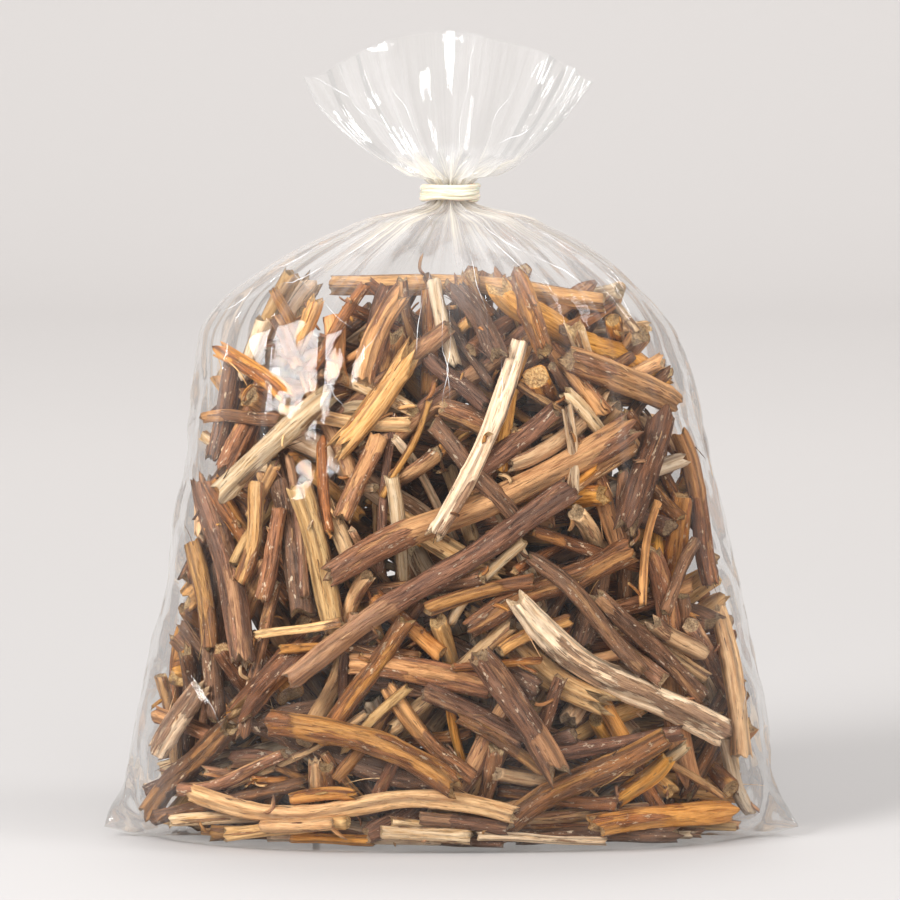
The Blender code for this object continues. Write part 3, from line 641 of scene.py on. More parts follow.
def add_root(batch, draw, line, radius, detail, bark, fray=None, peels=()):
    """One finely wrinkled piece of root along a line."""
    sides = detail[1]
    steps = np.sqrt(dot(np.diff(line, axis=0), np.diff(line, axis=0)))
    along = np.concatenate([[0], np.cumsum(steps)])
    length = along[-1]
    tangent, across, up = frames(line)
    for direction in (across, up):
        size, wave = draw.uniform(0.04, 0.16) * radius, draw.uniform(16, 48) * MM
        line = line + direction * (size * np.sin(2 * math.pi * along / wave + draw.uniform(0, 6.3)))[:, None]
    tangent, across, up = frames(line)
    angle = (2 * math.pi * np.arange(sides) / sides)[None, :]
    s = along[:, None]

    width = 1.04 + 0.05 * np.sin(2 * math.pi * s / (draw.uniform(12, 26) * MM) + draw.uniform(0, 6.3))
    width = width * (1 + draw.uniform(0.02, 0.10) * np.cos(2 * (angle - draw.uniform(0, 3) - s / (60 * MM))))
    ridges = pattern(draw, angle, s, 6, (3, max(4, sides // 3)), (24 * MM, 70 * MM), (0.2, 0.9))
    # How deep each groove is: it narrows the piece, and the material also darkens it as painted shade
    groove_and_shade = np.clip(0.45 - 0.55 * ridges, 0, 1) ** 1.4
    width = width * (1 - draw.uniform(0.08, 0.17) * groove_and_shade)
    knot_at = draw.uniform(0, 12) * MM
    while knot_at < length:
        near = np.exp(-(((s - knot_at) / (draw.uniform(0.5, 1.3) * MM)) ** 2))
        side = 0.5 + 0.5 * np.cos(angle - draw.uniform(0, 6.3))
        width = width + draw.uniform(0.03, 0.13) * near * side
        knot_at += draw.uniform(9, 26) * MM
    coat = bark + 0.30 * pattern(draw, angle, s, 4, (1, 3), (20 * MM, 60 * MM), (0.3, 1.0))
    coat = coat + 0.20 * pattern(draw, angle, s, 5, (2, 7), (8 * MM, 26 * MM), (0.3, 1.2))
    for low, high, strength in peels:
        inside = np.clip((s / length - low) / PEEL_EDGE + 0.5, 0, 1)
        inside = inside * np.clip((high - s / length) / PEEL_EDGE + 0.5, 0, 1)
        coat = coat + strength * inside
    width = width + 0.045 * np.clip((coat - 0.42) / 0.12, 0, 1)
    if draw.random() < 0.3:
        centre, spread = draw.uniform(0, 6.3), draw.uniform(0.4, 0.8)
        window = np.clip(1 - (np.abs(np.angle(np.exp(1j * (angle - centre)))) / spread) ** 2, 0, 1)
        reach = np.clip((draw.uniform(0.3, 0.9) * length - s) / (3 * MM), 0, 1)
        width = width * (1 - draw.uniform(0.1, 0.3) * window * reach)
        coat = coat - 0.8 * window * reach

    jagged = np.zeros((2, sides))
    for end in range(2):
        rough = draw.uniform(0.12, 0.75) if fray is None else fray
        waves = (1, max(5, sides // 3))
        jagged[end] = rough * radius * pattern(draw, angle[0], np.zeros(sides), 5, waves, (1, 2))
        flare = draw.uniform(-0.22, 0.1)
        near_end = along if end == 0 else length - along
        width = width * (1 + flare * np.exp(-near_end / (0.9 * radius)))[:, None]
    reach = 1.1 * radius
    lean = -jagged[0] * np.exp(-s / reach) + jagged[1] * np.exp(-(length - s) / reach)

    out = across[:, None] * np.cos(angle)[..., None] + up[:, None] * np.sin(angle)[..., None]
    side_points = line[:, None] + out * (radius * width)[..., None] + tangent[:, None] * lean[..., None]
    rows, grains, looks = [], [], []
    offset = np.array([draw.uniform(0, 0.3), draw.uniform(0, 0.3), draw.uniform(0, 0.3)])
    tone = draw.random()

    def put(points, share, place, cut, coat_row, groove_shade_row):
        reach = share * radius
        ring = np.stack([reach * np.cos(angle[0]), reach * np.sin(angle[0]), np.full(sides, place)], axis=-1)
        rows.append(points)
        grains.append(ring + offset)
        looks.append(
            np.stack([coat_row, np.full(sides, cut), np.full(sides, tone), groove_shade_row], axis=-1)
        )

    def cap(end, share):
        row = 0 if end == 0 else -1
        sink = (0.10 + 0.25 * (1 - share)) * radius * (1 if end == 0 else -1)
        uneven = 0.16 * radius * pattern(draw, angle[0], np.zeros(sides), 3, (1, 5), (1, 2)) * (share + 0.3)
        centre = side_points[row].mean(0)
        points = centre + (side_points[row] - centre) * share
        points = points + tangent[row] * (sink + uneven)[:, None]
        # Painted shade on the cut end, deeper towards the middle of the sunken end
        put(points, share, along[row], 1.0, coat[row], np.full(sides, 0.25 + 0.4 * (1 - share)))

    for share in CAP_SHARES:
        cap(0, share)
    for k in range(len(line)):
        put(side_points[k], 1.0, along[k], 0.0, coat[k], groove_and_shade[k])
    for share in reversed(CAP_SHARES):
        cap(1, share)
    batch.add_rows(np.array(rows), np.array(grains), np.array(looks))
    return side_points, tangent, tone


def add_fibre(batch, draw, start, way, length, radius, tone, bark):
    """A thin curled fibre or rootlet."""
    rings, sides = 7, 3
    share = np.linspace(0, 1, rings)
    sideways = Vector(way).orthogonal().normalized()
    sideways.rotate(Quaternion(Vector(way), draw.uniform(0, 2 * math.pi)))
    curl = np.array(sideways) * draw.uniform(-0.35, 0.35) * length
    drop = np.array((0, 0, -1)) * draw.uniform(0.0, 0.2) * length
    line = start + np.array(way) * (length * share)[:, None] + (curl + drop) * (share**2)[:, None]
    _, across, up = frames(line)
    angle = 2 * math.pi * np.arange(sides) / sides
    out = across[:, None] * np.cos(angle)[None, :, None] + up[:, None] * np.sin(angle)[None, :, None]
    width = radius * (1 - 0.7 * share)
    points = line[:, None] + out * width[:, None, None]
    grain = np.broadcast_to(np.array([0, 0, 1.0]) * (length * share)[:, None, None], points.shape) + start
    look = np.zeros((rings, sides, 4))
    look[..., 0], look[..., 2] = bark, tone
    batch.add_rows(points, grain, look)


def set_input(node, values):
    for name, value in values.items():
        node.inputs[name].default_value = value


class Shader:
    """Short calls that add and link nodes of one material."""

    def __init__(self, name):
        self.material = bpy.data.materials.new(name)
        self.material.use_nodes = True
        self.tree = self.material.node_tree
        self.tree.nodes.clear()
        self.output = self.node("ShaderNodeOutputMaterial")

    def node(self, kind, settings=None, **inputs):
        made = self.tree.nodes.new(kind)
        for key, value in (settings or {}).items():
            setattr(made, key, value)
        for key, value in inputs.items():
            self.feed(made.inputs[key.replace("_", " ")], value)
        return made

    def feed(self, socket, value):
        if isinstance(value, bpy.types.NodeSocket):
            self.tree.links.new(value, socket)
        elif hasattr(value, "__len__") and len(value) == 3 and socket.type == "RGBA":
            socket.default_value = (*value, 1.0)
        else:
            socket.default_value = value

    def math(self, operation, a, b=0.0, c=0.0):
        made = self.node("ShaderNodeMath", {"operation": operation})
        for socket, value in zip(made.inputs, (a, b, c)):
            self.feed(socket, value)
        return made.outputs[0]

    def mix(self, factor, a, b, blend="MIX"):
        made = self.node("ShaderNodeMix", {"data_type": "RGBA", "blend_type": blend})
        self.feed(made.inputs[0], factor)
        self.feed(made.inputs[6], a)
        self.feed(made.inputs[7], b)
        return made.outputs[2]

    def step(self, value, low, high, to_low=0.0, to_high=1.0):
        made = self.node("ShaderNodeMapRange", {"interpolation_type": "SMOOTHSTEP"})
        keys = ("Value", "From Min", "From Max", "To Min", "To Max")
        for key, entry in zip(keys, (value, low, high, to_low, to_high)):
            self.feed(made.inputs[key], entry)
        return made.outputs["Result"]

    def scaled(self, vector, scale):
        made = self.node("ShaderNodeVectorMath", {"operation": "MULTIPLY"})
        self.feed(made.inputs[0], vector)
        self.feed(made.inputs[1], scale)
        return made.outputs[0]

    def noise(self, vector, scale=1.0, detail=4.0, rough=0.55):
        made = self.node("ShaderNodeTexNoise", Vector=vector, Scale=scale, Detail=detail, Roughness=rough)
        return made.outputs["Fac"]


# Finishes: colour of the peeled wood from dark to light, colour of the bark from dark to light, share of bark
FINISHES = {
    "umber": ((0.25, 0.100, 0.034), (0.58, 0.29, 0.120), (0.054, 0.019, 0.007), (0.30, 0.132, 0.060), 0.95),
    "russet": ((0.33, 0.130, 0.040), (0.66, 0.345, 0.14), (0.095, 0.032, 0.011), (0.45, 0.195, 0.083), 0.74),
    "amber": ((0.41, 0.165, 0.045), (0.79, 0.42, 0.155), (0.140, 0.048, 0.016), (0.46, 0.195, 0.076), 0.26),
    "straw": ((0.55, 0.265, 0.085), (0.90, 0.575, 0.275), (0.155, 0.058, 0.020), (0.47, 0.22, 0.09), 0.22),
    "bone": ((0.68, 0.405, 0.19), (1.0, 0.775, 0.52), (0.165, 0.076, 0.034), (0.44, 0.25, 0.125), 0.20),
}
WOOD_STAIN = (0.30, 0.17, 0.075)
WOOD_DASH = (0.10, 0.05, 0.025)
BARK_WORN = (0.30, 0.185, 0.12)
BARK_SPECK = (0.74, 0.56, 0.38)
PITH_DARK = (0.22, 0.115, 0.05)
PITH_LIGHT = (0.70, 0.50, 0.26)
# Painted shade: the colour laid into grooves and into the hollow middles of the cut ends
GROOVE_SHADE = (0.070, 0.030, 0.013)
TANGLE_FINISHES = ("russet", "amber", "umber", "straw")


def root_material(name):
    """Peeled wood with streaky grain, and dark wrinkled bark that is left in patches; grooves and the hollow
    middles of the cut ends are darkened with painted shade.
    """
    wood_dark, wood_light, bark_dark, bark_light, _ = FINISHES[name]
    s = Shader(name)
    grain = s.node("ShaderNodeAttribute", {"attribute_name": "grain"}).outputs["Vector"]
    attribute = s.node("ShaderNodeAttribute", {"attribute_name": "look"})
    split = s.node("ShaderNodeSeparateColor", Color=attribute.outputs["Color"])
    coat, cut, tone = split.outputs[0], split.outputs[1], split.outputs[2]
    groove_and_shade = attribute.outputs["Alpha"]
    streak = s.noise(s.scaled(grain, (1500, 1500, 110)), detail=5.0, rough=0.62)
    fine = s.noise(s.scaled(grain, (4200, 4200, 420)), detail=3.0, rough=0.6)
    blotch = s.noise(s.scaled(grain, (420, 420, 170)), detail=3.0)
    fleck = s.noise(s.scaled(grain, (1250, 1250, 480)), detail=3.0, rough=0.7)
    crumb = s.noise(s.scaled(grain, (2600, 2600, 2600)), detail=2.0)

    fibre = s.math("MULTIPLY_ADD", fine, 0.4, s.math("MULTIPLY", streak, 0.75))
    wood = s.mix(s.step(fibre, 0.38, 0.72), wood_dark, wood_light)
    wood = s.mix(s.step(blotch, 0.62, 0.78, 0.0, 0.45), wood, WOOD_STAIN)
    dash = s.step(s.noise(s.scaled(grain, (2300, 2300, 260)), detail=2.0), 0.66, 0.72)
    wood = s.mix(s.math("MULTIPLY", dash, 0.75), wood, WOOD_DASH)
    wrinkle = s.math("MULTIPLY_ADD", fine, 0.5, s.math("MULTIPLY", streak, 0.7))
    bark = s.mix(s.step(wrinkle, 0.42, 0.80), bark_dark, bark_light)
    bark = s.mix(s.step(blotch, 0.5, 0.8, 0.0, 0.4), bark, BARK_WORN)
    crack = s.step(s.noise(s.scaled(grain, (2600, 2600, 150)), detail=3.0, rough=0.6), 0.585, 0.64)
    bark = s.mix(s.math("MULTIPLY", crack, 0.8), bark, bark_dark)
    spot = s.step(fleck, 0.60, 0.66, 0.0, 0.85)
    bark = s.mix(spot, bark, BARK_SPECK)
    streaky = s.math("MULTIPLY", s.math("SUBTRACT", streak, 0.5), 1.5)
    blotchy = s.math("MULTIPLY", s.math("SUBTRACT", blotch, 0.5), 0.9)
    covered = s.step(s.math("ADD", coat, s.math("ADD", streaky, blotchy)), 0.44, 0.58)
    colour = s.mix(covered, wood, bark)

    pith = s.math("MULTIPLY_ADD", crumb, 0.6, s.math("MULTIPLY", fine, 0.5))
    ends = s.mix(s.step(pith, 0.35, 0.75), PITH_DARK, PITH_LIGHT)
    colour = s.mix(s.math("MULTIPLY", cut, 0.8), colour, ends)
    # Painted shade: darker in the grooves and in the middles of the cut ends
    colour = s.mix(s.step(groove_and_shade, 0.3, 1.0, 0.0, 0.6), colour, GROOVE_SHADE)
    shade = s.node("ShaderNodeHueSaturation", Color=colour, Saturation=1.0, Fac=1.0)
    s.feed(shade.inputs["Hue"], s.step(tone, 0.0, 1.0, 0.495, 0.503))
    for key, turns, low, high in (("Saturation", 3.7, 0.92, 1.12), ("Value", 7.3, 0.66, 1.14)):
        mixed = s.math("FRACT", s.math("MULTIPLY", tone, turns))
        s.feed(shade.inputs[key], s.step(mixed, 0.0, 1.0, low, high))

    height = s.math("MULTIPLY_ADD", streak, 0.7, s.math("MULTIPLY", fine, 0.3))
    height = s.math("ADD", height, s.math("MULTIPLY", covered, 0.35))
    height = s.math("ADD", height, s.math("MULTIPLY", spot, 0.25))
    height = s.math("SUBTRACT", height, s.math("MULTIPLY", crack, 0.5))
    bump = s.node("ShaderNodeBump", Height=height, Strength=1.0, Distance=0.0005)
    shader = s.node("ShaderNodeBsdfPrincipled", Base_Color=shade.outputs[0], Normal=bump.outputs[0])
    s.feed(shader.inputs["Roughness"], s.step(streak, 0.3, 0.8, 0.5, 0.82))
    set_input(shader, {"Specular IOR Level": 0.4})
    s.tree.links.new(shader.outputs[0], s.output.inputs[0])
    return s.material


# Stretches of front pieces where bark is missing or left: from and to as shares of the length, and how much
PEELS = {
    "long_striped": [(-0.1, 0.36, -0.9)],
    "long_amber": [(-0.1, 0.26, 0.7), (0.3, 0.84, -0.3), (0.88, 1.1, 0.45)],
    "corner_root": [(-0.1, 0.22, -0.9)],
    "low_left_bone": [(-0.1, 0.45, 0.45)],
    "bone_centre": [(0.7, 1.1, 0.3)],
    "knotty_grey": [(0.45, 1.1, 0.35)],
    "amber_arch": [(-0.1, 0.12, 0.4)],
    "upper_right": [(0.35, 1.1, -0.35)],
    "right_thin": [(0.55, 1.1, -0.7)],
    "band_mid": [(-0.1, 0.16, -0.7)],
}


SCRAPS = 750
SCRAP_DETAIL = (6, 5)
SCRAP_RADII = (0.2, 0.55)
SCRAP_FRAY = 1.6
BARK_VARIES = (-0.15, 0.15)
FRAYED = {"torn_mid": 1.5, "grey_knot": 1.2, "top_straw": 1.1}


def drawn_peels(draw):
    """Stretches without bark, or with more of it, for a piece that has none set."""
    if draw.random() < 0.45:
        return []
    reach, strength = draw.uniform(0.12, 0.5), draw.choice((-0.8, -0.6, 0.35))
    return [(-0.1, reach, strength)] if draw.random() < 0.5 else [(1 - reach, 1.1, strength)]


def make_roots():
    """Replaces each node of root by its fine pieces, and adds the thin pieces and the fibres between them."""
    heap = lay_out()
    full, first_filler = settle_fillers(heap)
    materials = {name: root_material(name) for name in FINISHES}
    finish_of = {piece[0]: piece[1] for piece in FRONT_PIECES}
    tangles = sum(around for _, around in TANGLE_LEVELS)
    for k in range(tangles):
        finish_of[f"tangle_{k + 1:02d}"] = TANGLE_FINISHES[k % len(TANGLE_FINISHES)]
    lines = {
        rings: full.points([k / (rings - 1) for k in range(rings)])
        for rings in (FRONT_DETAIL[0], TANGLE_DETAIL[0], FILLER_DETAIL[0])
    }
    draw = random.Random(3)
    batches = {}
    fibres = {name: Batch() for name in ("umber", "straw")}
    for index, name in enumerate(heap.names):
        detail = FRONT_DETAIL if heap.anchored[index] else TANGLE_DETAIL
        batch = batches.setdefault(name, Batch())
        finish = finish_of[name]
        bark = FINISHES[finish][4]
        bark += draw.uniform(*BARK_VARIES)
        peels = PEELS.get(name, drawn_peels(draw))
        line, radius = lines[detail[0]][index], full.radius[index]
        surface, tangent, tone = add_root(batch, draw, line, radius, detail, bark, FRAYED.get(name), peels)
        for _ in range(draw.randint(1, 5) if heap.anchored[index] else draw.randint(1, 3)):
            row, side = draw.randrange(len(surface)), draw.randrange(detail[1])
            out = surface[row, side] - surface[row].mean(0)
            away = out / np.linalg.norm(out) * draw.uniform(0.1, 0.5)
            way = unit((away + tangent[row] * draw.choice((-1, 1)))[None])[0]
            kind = "umber" if draw.random() < 0.5 else "straw"
            add_fibre(
                fibres[kind], draw, surface[row, side], tuple(way), draw.uniform(2.5, 8) * MM,
                draw.uniform(0.08, 0.2) * MM, tone, 0.9 if kind == "umber" else 0.1,
            )
    for name, batch in batches.items():
        made = batch.build(f"fine_{name}", materials[finish_of[name]])
        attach(made, "root")
        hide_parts(f"root_{name}")
    fillers = {name: Batch() for name in FINISHES}
    for index in range(first_filler, len(full.names)):
        finish = draw.choice(("umber", "russet", "russet", "amber", "straw", "bone"))
        bark = FINISHES[finish][4] + draw.uniform(*BARK_VARIES)
        line, radius = lines[FILLER_DETAIL[0]][index], full.radius[index]
        add_root(fillers[finish], draw, line, radius, FILLER_DETAIL, bark, peels=drawn_peels(draw))
    nearby = full.points([k / 8 for k in range(9)])
    for _ in range(SCRAPS):
        index, place = draw.randrange(len(full.names)), draw.randrange(9)
        spot = nearby[index, place]
        around = np.array([draw.gauss(0, 1), draw.gauss(0, 1) - 0.5, draw.gauss(0, 1)])
        start = spot + around / np.linalg.norm(around) * full.radius[index] * 1.05
        way = np.array([draw.gauss(0, 1), 0.5 * draw.gauss(0, 1), draw.gauss(0, 1)])
        way = way / np.linalg.norm(way) * draw.uniform(1.5, 4.5) * MM
        if not inside_film(start, 0.9 * MM) or not inside_film(start + way, 0.9 * MM):
            continue
        bend = np.array([draw.gauss(0, 1), draw.gauss(0, 1), draw.gauss(0, 1)]) * 0.12 * np.linalg.norm(way)
        share = np.linspace(0, 1, SCRAP_DETAIL[0])[:, None]
        line = start + way * share + bend * np.sin(math.pi * share)
        finish = draw.choice(("russet", "amber", "amber", "straw", "umber"))
        radius, bark = draw.uniform(*SCRAP_RADII) * MM, draw.uniform(0.2, 0.8)
        add_root(fillers[finish], draw, line, radius, SCRAP_DETAIL, bark, SCRAP_FRAY)
    for name, batch in fillers.items():
        made = batch.build(f"thin_{name}", materials[name])
        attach(made, "root")
    for name, batch in fibres.items():
        made = batch.build(f"fibres_{name}", materials[name])
        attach(made, "root")


def smooth_stations(heights):
    """The film's stations at any height, on a smooth line that doesn't overshoot them."""
    table = np.array(FILM_STATIONS) * MM
    x = table[:, 0]
    columns = []
    for y in table[:, 1:].T:
        h, d = np.diff(x), np.diff(y) / np.diff(x)
        slope = np.zeros_like(y)
        same = d[:-1] * d[1:] > 0
        w1, w2 = 2 * h[1:] + h[:-1], h[1:] + 2 * h[:-1]
        safe = np.where(same, d[:-1] * d[1:], 1)
        mean = (w1 + w2) * safe / (w1 * d[1:] + w2 * d[:-1] + np.where(same, 0, 1e9))
        slope[1:-1] = np.where(same, mean, 0)
        slope[0], slope[-1] = d[0], d[-1]
        k = np.clip(np.searchsorted(x, heights) - 1, 0, len(h) - 1)
        t = (heights - x[k]) / h[k]
        columns.append(
            (2 * t**3 - 3 * t**2 + 1) * y[k] + (t**3 - 2 * t**2 + t) * h[k] * slope[k]
            + (3 * t**2 - 2 * t**3) * y[k + 1] + (t**3 - t**2) * h[k] * slope[k + 1]
        )
    return columns


def front_of_film(x, z):
    """Depth of the front of the film at points x, z."""
    left, right, depth, _, _ = smooth_stations(z)
    rounded = np.clip((z - ROUND_FROM) / (ROUND_TO - ROUND_FROM), 0, 1)
    width_power = WIDTH_POWER + (2 - WIDTH_POWER) * rounded
    depth_power = DEPTH_POWER + (2 - DEPTH_POWER) * rounded
    share = np.clip(np.abs(x) / np.where(x < 0, left, right), 0, 0.985)
    return -depth * (1 - share**width_power) ** (1 / depth_power)


def fold(x):
    """A sharp zigzag between -1 and 1 with a period of 1."""
    return 1 - 4 * np.abs(x - np.floor(x + 0.5))


def film_grid(heights, reach_in):
    """Angles, heights and smooth points of the film: rows x around x 3, taken in by reach_in."""
    left, right, depth, pleat = (column[:, None] for column in smooth_stations(heights)[:4])
    back = np.linspace(0, math.pi, BACK_SIDES, endpoint=False)
    angle = np.concatenate([back, np.linspace(math.pi, 2 * math.pi, FRONT_SIDES, endpoint=False)])[None, :]
    around = angle.shape[1]
    z = np.broadcast_to(heights[:, None], (len(heights), around)).copy()
    cosine, sine = np.cos(angle), np.sin(angle)
    rounded = np.clip((heights[:, None] - ROUND_FROM) / (ROUND_TO - ROUND_FROM), 0, 1)
    width_power = WIDTH_POWER + (2 - WIDTH_POWER) * rounded
    depth_power = DEPTH_POWER + (2 - DEPTH_POWER) * rounded
    reach = np.where(cosine > 0, right, left)
    x = np.sign(cosine) * np.abs(cosine) ** (2 / width_power) * (reach - reach_in)
    y = np.sign(sine) * np.abs(sine) ** (2 / depth_power) * (depth - reach_in)
    return angle + 0 * z, z, np.stack([x, y, z], axis=-1), pleat + 0 * z


def outwards(points):
    """Level outward directions of a grid of points that closes round itself."""
    along = np.roll(points, -1, axis=1) - np.roll(points, 1, axis=1)
    out = np.stack([along[..., 1], -along[..., 0], 0 * along[..., 0]], axis=-1)
    return unit(out)


def spread_at_band(points, z, out):
    """Spreads the gathered film right under and right over the band."""
    under = np.exp(-(((z - 127.6 * MM) / (0.7 * MM)) ** 2))
    over = np.exp(-(((z - 133.2 * MM) / (0.8 * MM)) ** 2))
    return points + out * (1.4 * under + 1.5 * over)[..., None] * MM


NECK_PLEATS = 17
PLEAT_DEPTH = 0.86


def gather_neck(points, angle, share):
    """Folds the film in towards the middle of the neck in deep pleats, as far as share says."""
    dip = (0.5 - 0.5 * np.cos(NECK_PLEATS * angle + np.sin(3 * angle))) ** 0.7
    points[..., :2] *= (1 - PLEAT_DEPTH * dip * share)[..., None]


def streak_way(angle, z):
    """Coordinates that stay alike along a gather and change quickly across it."""
    return np.stack([np.cos(angle), np.sin(angle), z / (40 * MM)], axis=-1)


def grid_object(name, points, finish, values, way, floor=False):
    """An object of a grid that closes round itself, with haze and streaks, and a floor if asked."""
    rows, around = points.shape[:2]
    index = np.arange(rows * around).reshape(rows, around)
    following = np.roll(index, -1, axis=1)
    faces = np.stack([index[:-1], following[:-1], following[1:], index[1:]], axis=-1).reshape(-1, 4).tolist()
    flat, values, way = points.reshape(-1, 3), values.reshape(-1), way.reshape(-1, 3)
    if floor:
        flat = np.concatenate([flat, [[0, 0, 0.0001]]])
        values = np.append(values, values[:around].mean())
        way = np.concatenate([way, [[0, 0, 0]]])
        faces += np.stack([np.full(around, rows * around), following[0], index[0]], axis=-1).tolist()
    return add_mesh(name, flat.tolist(), faces, finish, haze=values, way=way)


# How finely the film is divided, and how far its folds may go inwards below the height where they are free to
BACK_SIDES = 140
FRONT_SIDES = 310
BODY_ROWS = 184
INWARD = 0.3 * MM
FREE_FROM = 118 * MM
NO_LIMIT = 9
FAN_ROWS = 64


def crumple(draw, across, up, sizes, terms):
    """Facets of crumpled film: a sum of sharp zigzags in drawn directions, mostly from -1 to 1."""
    total = np.zeros(across.shape)
    for _ in range(terms):
        turn, size, phase = draw.uniform(0, math.pi), draw.uniform(*sizes), draw.random()
        total += fold((across * math.cos(turn) + up * math.sin(turn)) / size + phase)
    return total / math.sqrt(terms)


# Flat folds of the film: corners (x, z) in millimetres, anticlockwise, and slopes across and upwards, chosen
# so that they mirror the key light to the front; then how wide their edges are and how far they stand proud
BODY_FACETS = [
    ([(-43, 102.8), (-39.2, 96.6), (-30, 90.4), (-25.4, 91.8), (-25, 103.6), (-28.6, 108)], -0.32, 0.31),
    ([(27, 105), (33.4, 102.5), (31.4, 110.5)], -0.40, 0.30),
    ([(6.2, 111.6), (8, 107.2), (9.4, 107.8), (7.6, 112)], -0.36, 0.31),
    ([(-54, 35), (-50.5, 29), (-47.4, 28.4), (-48, 31), (-52, 35.8)], -0.31, 0.39),
    ([(-17.5, 103), (-20.5, 92), (-17, 93.5), (-13, 103)], -0.33, 0.32),
]
FAN_FACETS = [
    ([(-18.4, 159.7), (-14, 156.6), (-10.2, 159.4), (-10, 160.6), (-13.6, 161)], -0.35, 0.24),
    ([(-3.6, 158.8), (2.4, 159), (4.6, 161.4), (2.2, 162.8), (-2.6, 162.2)], -0.36, 0.24),
    ([(-7.6, 144.2), (-4.8, 137), (-3.4, 137.4), (-5.6, 144.8)], -0.35, 0.26),
]
FACET_EDGE = 0.7 * MM
FACET_PROUD = 0.9 * MM


def lift_facets(points, facets):
    """Folds the front of a sheet of film outwards into flat facets."""
    front = points[:, BACK_SIDES:]
    x, y, z = (front[..., k].copy() for k in range(3))
    for corners, across, up in facets:
        corners = np.array(corners) * MM
        inside = np.full(x.shape, np.inf)
        for (x0, z0), (x1, z1) in zip(corners, np.roll(corners, -1, axis=0)):
            off = ((x1 - x0) * (z - z0) - (z1 - z0) * (x - x0)) / math.hypot(x1 - x0, z1 - z0)
            inside = np.minimum(inside, off)
        if inside.max() <= 0:
            continue
        plane = across * x + up * z
        plane += (y - plane)[inside > 0].min()
        y += np.clip(inside / FACET_EDGE, 0, 1) * np.maximum(plane - y, -FACET_PROUD)
    front[..., 1] = y


def make_film_body(finish):
    draw = random.Random(11)
    share = np.linspace(0, 1, BODY_ROWS)
    heights = 131.0 * MM * share
    angle, z, points, pleat = film_grid(heights, 0.15 * MM)
    out = outwards(points)
    lift_facets(points, BODY_FACETS)
    smooth = points.copy()
    spread = angle / (2 * math.pi)
    gather = np.clip((z - 78 * MM) / (38 * MM), 0, 1) ** 1.3
    wander = 0.010 * np.sin(z / (7 * MM) + 5 * angle) + 0.006 * np.sin(z / (4 * MM) - 9 * angle)
    uneven = spread + 0.035 * np.sin(2 * math.pi * spread + 1.1) + 0.02 * np.sin(6 * math.pi * spread)
    folds = 0.6 * fold(7 * (uneven + wander) + 0.3) + 0.3 * fold(13 * (uneven - wander))
    folds += 0.1 * fold(34 * spread + 0.2)
    near_neck = np.clip((z - 120 * MM) / (5 * MM), 0, 1)
    size = (0.1 * MM + 0.75 * pleat) * gather * (1 - 0.75 * near_neck)
    points += out * (folds * size + 0.25 * size)[..., None]
    creases = np.zeros(z.shape)
    for _ in range(30):
        place, low = draw.random(), draw.uniform(48, 106) * MM
        lean = draw.uniform(-0.025, 0.025)
        away = spread - place - lean * (131 * MM - z) / (60 * MM)
        away = np.abs(away - np.round(away)) * 220 * MM
        sharp = np.exp(-away / (draw.uniform(0.5, 1.2) * MM))
        reach = np.clip((z - low) / (22 * MM), 0, 1) * np.clip((129 * MM - z) / (4 * MM), 0, 1)
        creases += draw.uniform(0.3, 0.9) * sharp * reach
    points += out * (creases * 0.55 * MM)[..., None]
    across = spread * 260 * MM
    side = np.clip((np.abs(np.cos(angle)) - 0.72) / 0.25, 0, 1)
    low = np.clip((26 * MM - z) / (24 * MM), 0, 1)
    strength = 0.16 * MM + 0.30 * MM * side + 0.30 * MM * low + 0.12 * MM * gather
    strength = strength * np.clip(z / (3 * MM), 0, 1) * (1 - near_neck)
    facets = crumple(draw, across, z, (11 * MM, 26 * MM), 5)
    small = crumple(draw, across, z, (4 * MM, 8 * MM), 4)
    points += out * ((facets + 0.3 * small) * strength + 0.5 * strength)[..., None]
    proud = ((points - smooth) * out).sum(axis=-1)
    least = -INWARD * np.clip((FREE_FROM - z) / (4 * MM), 0, 1) - NO_LIMIT * (z > FREE_FROM)
    points = smooth + out * np.maximum(proud, least)[..., None]
    points = spread_at_band(points, z, out)
    points[..., 0] *= 1 + 0.5 * np.exp(-(((z - 126.4 * MM) / (1.5 * MM)) ** 2))
    gather_neck(points, angle, np.clip((z - 124.5 * MM) / (4 * MM), 0, 1))
    cosine = np.cos(angle)
    ear = np.clip(1 - np.abs(z - 0.6 * MM) / (13 * MM), 0, 1) ** 2.4 * np.exp(-((np.sin(angle) / 0.13) ** 2))
    ear = ear * np.clip(z / (2 * MM), 0.55, 1)
    points[..., 0] += np.sign(cosine) * ear * 9.2 * MM
    points[..., 1] = points[..., 1] * (1 - 0.5 * ear) - 5.0 * MM * ear
    points[..., 2] = np.maximum(points[..., 2], 0.0001)
    milk = 0.006 + 0.035 * gather + 0.36 * np.clip((z - 104 * MM) / (22 * MM), 0, 1) ** 2
    milk += 0.10 * np.clip(creases, 0, 1)
    milk += 0.05 * side + 0.06 * ear + 0.02 * low
    made = grid_object("film_body", points, finish, milk, streak_way(angle, z), floor=True)
    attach(made, "root")
    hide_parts("film_bag")
    return points


